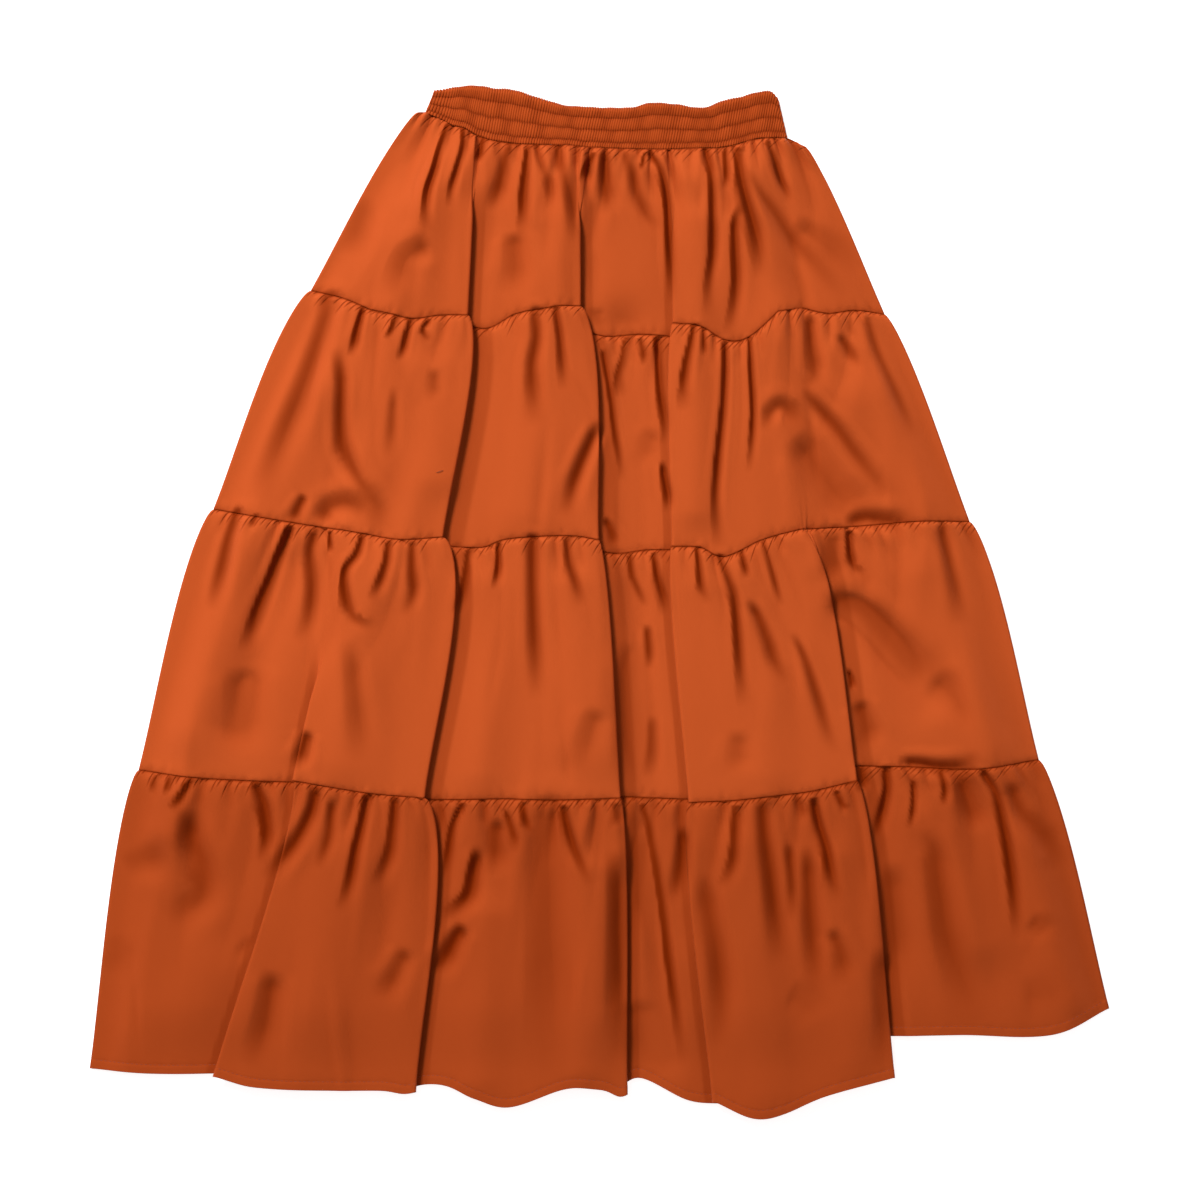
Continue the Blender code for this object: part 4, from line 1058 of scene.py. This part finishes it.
@dataclass
class Waistband:
    """Wide elastic in a cloth casing, shirred by rows of stitching."""

    front: SkirtFront
    wall: float = 0.0022
    rib: float = 0.0021
    rib_height: float = 0.00130
    tooth: float = 0.0009
    rows_at: tuple[float, ...] = (0.12, 0.42, 0.73)
    columns: int = 980
    rows: int = 48
    back_columns: int = 340
    back_rows: int = 26
    left: tuple[float, float] = (-0.154, -0.146)
    right: tuple[float, float] = (0.165, 0.157)
    end_round: float = 0.006
    front_middle: float = 0.0048
    back_middle: float = 0.0015
    seed: int = 19

    def seam_line(self, x: Array) -> Array:
        """Height of the waist seam at x, through the front's fold lines."""
        waist = self.front.levels[:, 0]
        return np.interp(x, waist[:, 0], waist[:, 1])

    def back_seam_line(self, x: Array) -> Array:
        """Height of the back waist seam at x."""
        line = SkirtBack(self.front).edge(0)
        return np.interp(x, line[:, 0], line[:, 1])

    def top_line(self, along: Array) -> Array:
        """Height of the band's top edge: a smooth curve through BAND_TOP."""
        knots = np.array(BAND_TOP)
        dense = smooth_run(knots[None], [8] * (len(knots) - 1))[0]
        dense = np.concatenate([dense, knots[-1:]])
        return np.interp(along, dense[:, 0], dense[:, 1])

    def ribs(self, along: Array, place: Array) -> Array:
        """Rounded ribs with sharp valleys, |cos|^0.6 of a wandering phase, out of step between rows."""
        rng = np.random.default_rng(self.seed)
        wander = sum(
            rng.uniform(0.3, 1.0) * np.sin(along * rng.uniform(20, 160) + rng.uniform(0, 6)) for _ in range(9)
        )
        bounds = (0.0, *self.rows_at, 1.0)
        height = np.zeros_like(along)
        for number, (low, high) in enumerate(zip(bounds, bounds[1:])):
            inside = (place >= low) & (place <= high)
            zone = np.clip((place - low) / (high - low), 0, 1)
            phase = np.pi * along / self.rib + 0.9 * wander + rng.uniform(-0.9, 0.9) + 0.25 * number
            rib = np.abs(np.cos(phase)) ** 0.75
            uneven = 1 + 0.25 * np.sin(along * 310 + 2.1 * number) * np.sin(along * 97 + number)
            full = 0.55 + 0.45 * np.sin(np.pi * zone) ** 0.7
            if number == len(bounds) - 2:
                full = 0.55 + 0.75 * zone
            if number == 0:
                full = 1.1 - 0.5 * zone
            height += np.where(inside, rib * full * uneven, 0.0)
        return self.rib_height * height

    def build_sheet(self, on_top: bool) -> Sheet:
        """The band's front or back half.

        Args:
            on_top: True for the front half.

        Returns:
            The half as a sheet, from its top edge down.
        """
        along = np.linspace(0, 1, self.columns if on_top else self.back_columns)[None]
        rows = self.rows if on_top else self.back_rows
        upper = rows // 4
        place = np.concatenate([np.linspace(1, 0.76, upper), np.linspace(0.75, 0, rows - upper)])[:, None]
        left = self.left[0] + (self.left[1] - self.left[0]) * place
        right = self.right[0] + (self.right[1] - self.right[0]) * place
        x = left + (right - left) * along
        seam = self.seam_line(x) if on_top else self.back_seam_line(x)
        length = np.broadcast_to(x - left, x.shape)
        down_place = np.broadcast_to(place, x.shape)
        rib = self.ribs(length, down_place)
        drop = 0.0 if on_top else 0.002
        scallop = 0.0010 * (rib / self.rib_height - 0.9) * ease((place - 0.88) / 0.12)
        tooth = self.tooth * (0.5 - rib / self.rib_height) * ease(1 - place / 0.06) * on_top
        low = seam + self.front.seam_gap + tooth - 0.0014 * ease(1 - along / 0.14) * on_top
        y = low + (self.top_line(along) - drop - low) * place + scallop
        row_width = 0.0007 / 0.040
        grooves = sum(np.exp(-(((place - at) / row_width) ** 2)) for at in (*self.rows_at, 0.0))
        bulge = sum(
            np.sin(np.pi * np.clip((place - low_at) / (high_at - low_at), 0, 1)) ** 0.8
            for low_at, high_at in zip((0.0, *self.rows_at), (*self.rows_at, 1.0))
        )
        relief = rib + 0.00016 * bulge - 0.00028 * grooves
        ends = np.minimum(length, (right - left) - length)
        roll = np.sqrt(np.clip(1 - (1 - np.clip(ends / self.end_round, 0, 1)) ** 2, 0, 1))
        top_round = ease((1 - place) / 0.10)
        sign = 1.0 if on_top else -1.0
        middle = self.front_middle if on_top else self.back_middle
        thickness = (self.wall * 0.55 + relief) * (0.35 + 0.65 * roll) * (0.45 + 0.55 * top_round)
        face = middle + sign * (-self.wall / 2 + thickness)
        z = face - sign * thickness / 2
        if not on_top:
            z = np.maximum(z, thickness / 2)
        # Painted shade: the rib valleys, and a little along the stitched rows.
        valley = np.clip(1 - rib / self.rib_height / 0.95, 0, 1)
        shade = 1 - (1 - 0.95 * valley) * (1 - 0.22 * np.minimum(grooves, 1))
        points = np.stack([x, y, z], axis=2)
        return Sheet(points, thickness, length, down_place * 0.04, shade)


@dataclass
class Threads:
    """Small lengths of sewing thread: the hem's stitches and one stray end."""

    radius: float = 0.00022
    stitch: float = 0.0026
    pitch: float = 0.0040
    sides: int = 6

    def tubes(self, starts: Array, ends: Array, rise: float, samples: int = 5) -> tuple[Array, Array]:
        """Arched closed tubes from starts to ends.

        Each runs along a straight line lifted by `rise` times sin(pi t), and
        its radius is the full radius times sin(pi t)^0.3, which closes its tips.

        Args:
            starts: First points, one row each.
            ends: Last points, one row each.
            rise: How high the middle stands.
            samples: Rings along each tube.

        Returns:
            All points, and all quads.
        """
        t = np.linspace(0.02, 0.98, samples)[None, :, None]
        middle = starts[:, None] * (1 - t) + ends[:, None] * t
        middle[..., 2] += rise * np.sin(np.pi * t[..., 0])
        forward = ends - starts
        forward /= np.linalg.norm(forward, axis=1, keepdims=True)
        side = np.cross(forward, (0.0, 0.0, 1.0))
        side /= np.linalg.norm(side, axis=1, keepdims=True)
        up = np.cross(side, forward)
        angle = np.linspace(0, 2 * np.pi, self.sides, endpoint=False)
        ring = side[:, None] * np.cos(angle)[:, None] + up[:, None] * np.sin(angle)[:, None]
        radius = self.radius * np.sin(np.pi * t[..., None]) ** 0.3
        points = middle[:, :, None] + ring[:, None] * radius
        count = len(starts)
        base = (np.arange(count)[:, None, None] * samples + np.arange(samples - 1)[None, :, None]) * self.sides
        here, ahead = np.arange(self.sides), (np.arange(self.sides) + 1) % self.sides
        quads = np.stack([base + here, base + ahead, base + self.sides + ahead, base + self.sides + here], -1)
        caps = []
        for row in (0, samples - 1):
            first = (np.arange(count)[:, None] * samples + row) * self.sides
            order = np.arange(self.sides)[::-1] if row == 0 else np.arange(self.sides)
            half = self.sides // 2
            picks = np.stack([np.array([order[0], order[k], order[k + 1], order[k + 2]]) for k in range(1, half + 1, 2)])
            caps.append((first[:, :, None] + picks[None]).reshape(-1, 4))
        return points.reshape(-1, 3), np.concatenate([quads.reshape(-1, 4), *caps])

    def hem(self, sheet: Sheet, turn: float) -> bpy.types.Object:
        """A row of stitches on the hem's turn, evenly spaced along the cloth."""
        length = sheet.down[-1]
        rows = np.array([np.interp(turn, (length[c] - sheet.down[:, c])[::-1], np.arange(len(sheet.down))[::-1])
                         for c in range(sheet.down.shape[1])])
        along = sheet.across[int(np.median(rows))]
        starts = np.arange(self.pitch, along[-1] - self.pitch, self.pitch)
        columns = np.arange(len(along))
        first = np.interp(starts, along, columns)
        last = np.interp(starts + self.stitch, along, columns)
        one = sheet.surface(np.interp(first, columns, rows), first)
        two = sheet.surface(np.interp(last, columns, rows), last)
        close = np.linalg.norm(two - one, axis=1) < 1.3 * self.stitch
        far = np.linalg.norm(two - one, axis=1) > 0.5 * self.stitch
        points, faces = self.tubes(one[close & far], two[close & far], self.radius)
        return grid_object("hem_stitches", points, faces)

    def stray(self, start: Array, end: Array) -> bpy.types.Object:
        """One short loose end of thread lying on the cloth."""
        points, faces = self.tubes(start[None], end[None], 0.0006, samples=9)
        return grid_object("stray_thread", points, faces)


class Socket:
    """A node output or a number that adds Math nodes when it is used in an expression."""

    def __init__(self, nodes: "NodeBook", value: Any) -> None:
        """Wrap a socket or a number."""
        self.nodes, self.value = nodes, value

    def maths(self, operation: str, *others: Any) -> "Socket":
        """This value and others through one Math node."""
        inputs = {0: self.value}
        for index, other in enumerate(others, start=1):
            inputs[index] = other.value if isinstance(other, Socket) else other
        return self.nodes.add("ShaderNodeMath", {"operation": operation}, inputs)

    def __add__(self, other: Any) -> "Socket":
        """Sum."""
        return self.maths("ADD", other)

    def __mul__(self, other: Any) -> "Socket":
        """Product."""
        return self.maths("MULTIPLY", other)

    def __sub__(self, other: Any) -> "Socket":
        """Difference."""
        return self.maths("SUBTRACT", other)

    def __truediv__(self, other: Any) -> "Socket":
        """Quotient."""
        return self.maths("DIVIDE", other)

    def __rsub__(self, other: Any) -> "Socket":
        """A number minus this value."""
        return Socket(self.nodes, other).maths("SUBTRACT", self)

    __radd__ = __add__
    __rmul__ = __mul__

    def sine(self) -> "Socket":
        """Sine, in radians."""
        return self.maths("SINE")

    def clamped(self) -> "Socket":
        """Held between 0 and 1."""
        return self.maths("MINIMUM", 1.0).maths("MAXIMUM", 0.0)


class NodeBook:
    """Adds nodes to one material."""

    def __init__(self, name: str) -> None:
        """Start an empty material with its output node."""
        self.material = bpy.data.materials.new(name)
        self.material.use_nodes = True
        self.tree = self.material.node_tree
        self.tree.nodes.clear()
        self.output = self.tree.nodes.new("ShaderNodeOutputMaterial")

    def add(self, kind: str, settings: dict[str, Any], inputs: dict[Any, Any], output: Any = 0) -> Socket:
        """Add one node.

        Args:
            kind: The node's type.
            settings: Its own settings, set first.
            inputs: Values or links for its sockets, by name or index.
            output: Which of its outputs to give back.

        Returns:
            The chosen output.
        """
        node = self.tree.nodes.new(kind)
        for key, value in settings.items():
            if key == "stops":
                ramp = node.color_ramp
                while len(ramp.elements) < len(value):
                    ramp.elements.new(0.5)
                for element, (place, colour) in zip(ramp.elements, value):
                    element.position, element.color = place, (*colour, 1.0)
            else:
                setattr(node, key, value)
        for key, value in inputs.items():
            value = value.value if isinstance(value, Socket) else value
            if isinstance(value, bpy.types.NodeSocket):
                self.tree.links.new(value, node.inputs[key])
            else:
                node.inputs[key].default_value = value
        return Socket(self, node.outputs[output])


@dataclass(frozen=True)
class ClothFinish:
    """A smooth, faintly lustrous woven cloth in one colour, which painted shade takes towards a second, darker
    colour.
    """

    name: str
    # The first colour is the cloth's own; the second is where painted shade takes it.
    light: Colour
    painted_shade_colour: Colour
    lustre: Colour = (1.0, 0.30, 0.08)
    roughness: float = 0.58
    specular: float = 0.18
    sheen: float = 0.06
    sheen_roughness: float = 0.45
    thread: float = 0.00045
    weave_height: float = 0.00004
    cloud_scale: float = 9.0
    cloud_share: float = 0.10
    # Seam puckers: their spacing, how long they run and how far they dent the bump; they also get painted
    # shade.
    tick_spacing: float = 0.0052
    tick_length: float = 0.015
    tick_depth: float = 0.0010

    def ticks(self, book: NodeBook, u: Socket, v: Socket) -> Socket:
        """Short pointed puckers below a seam, one for each random cell across the cloth, dented and given
        painted shade.

        A pucker is a steep clamp of 1 - distance / width times one of
        1 - v / length, and its length goes with the square of the cell's own
        random number.
        """
        cell = book.add(
            "ShaderNodeTexVoronoi", {"voronoi_dimensions": "1D"},
            {"W": u * (1 / self.tick_spacing), "Scale": 1.0, "Randomness": 0.9},
        )
        mark = Socket(book, cell.value.node.outputs["Color"])
        chance = book.add("ShaderNodeSeparateXYZ", {}, {0: mark})
        length = chance * chance * self.tick_length + 0.004
        fade = (1 - v / length).clamped()
        width = (1 - fade) * 0.10 + 0.13
        return ((1 - cell / width) * 1.5).clamped() * (fade * 1.6).clamped()

    def material(self) -> bpy.types.Material:
        """Plain weave from two sines over the cloth's own UV, a cloudy mottle, and painted shade in the folds
        and the seam puckers.
        """
        book = NodeBook(self.name)
        uv = book.add("ShaderNodeUVMap", {"uv_map": "cloth"}, {})
        split = book.add("ShaderNodeSeparateXYZ", {}, {0: uv})
        u, v = split, Socket(book, split.value.node.outputs[1])
        turn = 2 * math.pi / self.thread
        weave = (u * turn).sine() * (v * turn).sine()
        place = book.add("ShaderNodeTexCoord", {}, {}, "Object")
        cloud = book.add(
            "ShaderNodeTexNoise", {}, {"Vector": place, "Scale": self.cloud_scale, "Detail": 4.0}
        )
        slub = book.add("ShaderNodeTexNoise", {}, {"Vector": place, "Scale": 160.0, "Detail": 2.0})
        # Painted shade, from the shade point attribute.
        shade = book.add("ShaderNodeAttribute", {"attribute_name": "shade"}, {}, "Fac")
        # Puckers below each seam: a dent in the bump and painted shade in the colour.
        tick = self.ticks(book, u, v) if self.tick_depth else Socket(book, 0.0)
        # How light the colour stays: less under painted shade and the puckers' painted shade, and a little less
        # at random by the cloud.
        painted_shade_tone = ((1 - shade.clamped()) * (1 - tick * 0.8) - (1 - cloud) * self.cloud_share).clamped()
        colour = book.add(
            "ShaderNodeMix", {"data_type": "RGBA"},
            {"Factor": painted_shade_tone, "A": (*self.painted_shade_colour, 1.0), "B": (*self.light, 1.0)}, 2,
        )
        height = weave * self.weave_height + slub * 0.00006 - tick * self.tick_depth
        bump = book.add("ShaderNodeBump", {}, {"Strength": 0.6, "Distance": 1.0, "Height": height})
        rough = slub * 0.10 + (self.roughness - 0.05)
        shader = book.add("ShaderNodeBsdfPrincipled", {}, {
            "Base Color": colour, "Roughness": rough, "Normal": bump,
            "Specular IOR Level": self.specular, "Specular Tint": (*self.lustre, 1.0),
            "Sheen Weight": self.sheen, "Sheen Roughness": self.sheen_roughness,
            "Sheen Tint": (*self.lustre, 1.0),
        })
        book.tree.links.new(shader.value, book.output.inputs["Surface"])
        return book.material


@dataclass(frozen=True)
class ThreadFinish:
    """Spun sewing thread: ridged along its length."""

    name: str
    colour: Colour
    roughness: float = 0.6

    def material(self) -> bpy.types.Material:
        """Fine noise for the twist of the thread."""
        book = NodeBook(self.name)
        place = book.add("ShaderNodeTexCoord", {}, {}, "Object")
        twist = book.add("ShaderNodeTexNoise", {}, {"Vector": place, "Scale": 2500.0, "Detail": 1.0})
        bump = book.add("ShaderNodeBump", {}, {"Strength": 0.4, "Distance": 0.0001, "Height": twist})
        rough = twist * 0.2 + (self.roughness - 0.1)
        dark = tuple(0.72 * channel for channel in self.colour)
        colour = book.add(
            "ShaderNodeMix", {"data_type": "RGBA"},
            {"Factor": twist, "A": (*dark, 1.0), "B": (*self.colour, 1.0)}, 2,
        )
        shader = book.add(
            "ShaderNodeBsdfPrincipled", {}, {"Base Color": colour, "Roughness": rough, "Normal": bump}
        )
        book.tree.links.new(shader.value, book.output.inputs["Surface"])
        return book.material


# Each cloth finish: its own colour, then the darker colour that painted shade takes it to.
RUST = ClothFinish("rust_cloth", (0.480, 0.076, 0.016), (0.190, 0.018, 0.001))
RUST_BAND = ClothFinish(
    "rust_waistband", (0.375, 0.054, 0.009), (0.150, 0.013, 0.001), roughness=0.5, tick_depth=0.0
)
RUST_THREAD = ThreadFinish("rust_thread", (0.300, 0.040, 0.010))
DARK_THREAD = ThreadFinish("dark_thread", (0.050, 0.012, 0.006))


@dataclass
class Studio:
    """Pale floor, soft light from the waist side, and a camera straight above."""

    view_width: float = 1.056
    camera_height: float = 2.60
    sensor: float = 36.0
    floor_size: float = 8.0

    def floor(self) -> None:
        """A plain pale floor just under the cloth."""
        half = self.floor_size / 2
        corners = np.array([(-half, -half, 0), (half, -half, 0), (half, half, 0), (-half, half, 0)])
        floor = grid_object("floor", corners + (0, 0, -0.0002), np.array([[0, 1, 2, 3]]))
        book = NodeBook("pale_floor")
        place = book.add("ShaderNodeTexCoord", {}, {}, "Object")
        grain = book.add("ShaderNodeTexNoise", {}, {"Vector": place, "Scale": 30.0})
        rough = grain * 0.1 + 0.85
        shader = book.add("ShaderNodeBsdfPrincipled", {}, {
            "Base Color": (0.72, 0.72, 0.72, 1.0), "Roughness": rough, "Specular IOR Level": 0.1,
            "Emission Color": (1.0, 1.0, 1.0, 1.0), "Emission Strength": 0.80,
        })
        book.tree.links.new(shader.value, book.output.inputs["Surface"])
        floor.data.materials.append(book.material)

    def light(self, name: str, place: tuple[float, float, float], size: float, power: float) -> None:
        """A square soft light that faces the skirt's middle."""
        data = bpy.data.lights.new(name, "AREA")
        data.shape, data.size, data.energy = "SQUARE", size, power
        lamp = bpy.data.objects.new(name, data)
        lamp.location = place
        lamp.rotation_euler = (Vector((0.0, 0.0, 0.0)) - Vector(place)).to_track_quat("-Z", "Y").to_euler()
        bpy.context.scene.collection.objects.link(lamp)

    def camera(self) -> None:
        """Straight down, so that `view_width` fills the frame at the cloth's height."""
        data = bpy.data.cameras.new("camera")
        data.sensor_width = self.sensor
        data.lens = self.sensor * self.camera_height / self.view_width
        camera = bpy.data.objects.new("camera", data)
        camera.location = (0.0, 0.0, self.camera_height + 0.008)
        bpy.context.scene.collection.objects.link(camera)
        bpy.context.scene.camera = camera

    def build(self) -> None:
        """Set the whole studio up."""
        self.floor()
        self.light("key", (-1.90, 3.20, 3.40), 1.18, 338.0)
        self.light("overhead", (0.0, 0.4, 3.4), 2.6, 10.0)
        world = bpy.data.worlds.new("studio")
        world.use_nodes = True
        background = world.node_tree.nodes["Background"]
        background.inputs["Color"].default_value = (1.0, 1.0, 1.0, 1.0)
        background.inputs["Strength"].default_value = 0.25
        bpy.context.scene.world = world
        bpy.context.scene.view_settings.view_transform = "Standard"
        self.camera()


@dataclass
class Skirt:
    front: SkirtFront = field(default_factory=SkirtFront)
    widths: tuple[float, ...] = (0.640, 0.800, 0.990, 1.190)
    under_widths: tuple[float, ...] = (0.500, 0.650, 0.800, 0.950)
    heights: tuple[float, ...] = (0.165, 0.208, 0.242, 0.285)
    thread_at: tuple[Point, Point] = ((-0.1435, 0.1115), (-0.1372, 0.1137))

    def dress(self, piece: bpy.types.Object, finish: bpy.types.Material, slot: str, *nodes: str) -> None:
        """Give a piece its finish and its body, and hide the CAD nodes that it replaces."""
        piece.data.materials.append(finish)
        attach(piece, "root")
        if nodes:
            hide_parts(*nodes)
        LOG.info("%s: %d faces", piece.name, len(piece.data.polygons))

    def tiers(self, cloth: bpy.types.Material) -> list[Sheet]:
        """Make the eight tier panels.

        Args:
            cloth: Their material.

        Returns:
            The front panels' sheets.
        """
        back = SkirtBack(self.front)
        sheets = []
        for tier in range(TIERS):
            node = f"tier_{tier + 1}"
            under = back.build_sheet(tier).mesh(f"{node}_back_cloth")
            self.dress(under, cloth, "rust_cloth", f"{node}_back")
            sheets.append(self.front.build_sheet(tier))
            over = sheets[-1].mesh(f"{node}_front_cloth")
            self.dress(over, cloth, "rust_cloth", f"{node}_front")
        return sheets

    def waistband(self, cloth: bpy.types.Material) -> None:
        """Make both halves of the waistband."""
        band = Waistband(self.front)
        for side, on_top in (("front", True), ("back", False)):
            piece = band.build_sheet(on_top).mesh(f"waistband_{side}_casing")
            self.dress(piece, cloth, "rust_waistband", f"waistband_{side}")

    def threads(self, sheets: list[Sheet]) -> None:
        """Sew the hem and lay the stray thread."""
        threads = Threads()
        stitches = threads.hem(sheets[-1], self.front.hem_turn)
        self.dress(stitches, RUST_THREAD.material(), "rust_cloth")
        sheet = sheets[1]
        ends = []
        for x, y in self.thread_at:
            away = np.hypot(sheet.points[..., 0] - x, sheet.points[..., 1] - y) - sheet.points[..., 2]
            row, column = np.unravel_index(away.argmin(), away.shape)
            ends.append(np.array((x, y, sheet.points[row, column, 2] + self.front.wall)))
        self.dress(threads.stray(*ends), DARK_THREAD.material(), "rust_cloth")

    def build(self) -> None:
        """Make everything."""
        cloth = RUST.material()
        sheets = self.tiers(cloth)
        self.waistband(RUST_BAND.material())
        self.threads(sheets)


def main() -> None:
    """Build the skirt and its studio."""
    logging.basicConfig(level=logging.INFO, format="%(name)s: %(message)s")
    Studio().build()
    Skirt().build()


if __name__ == "__main__":
    main()
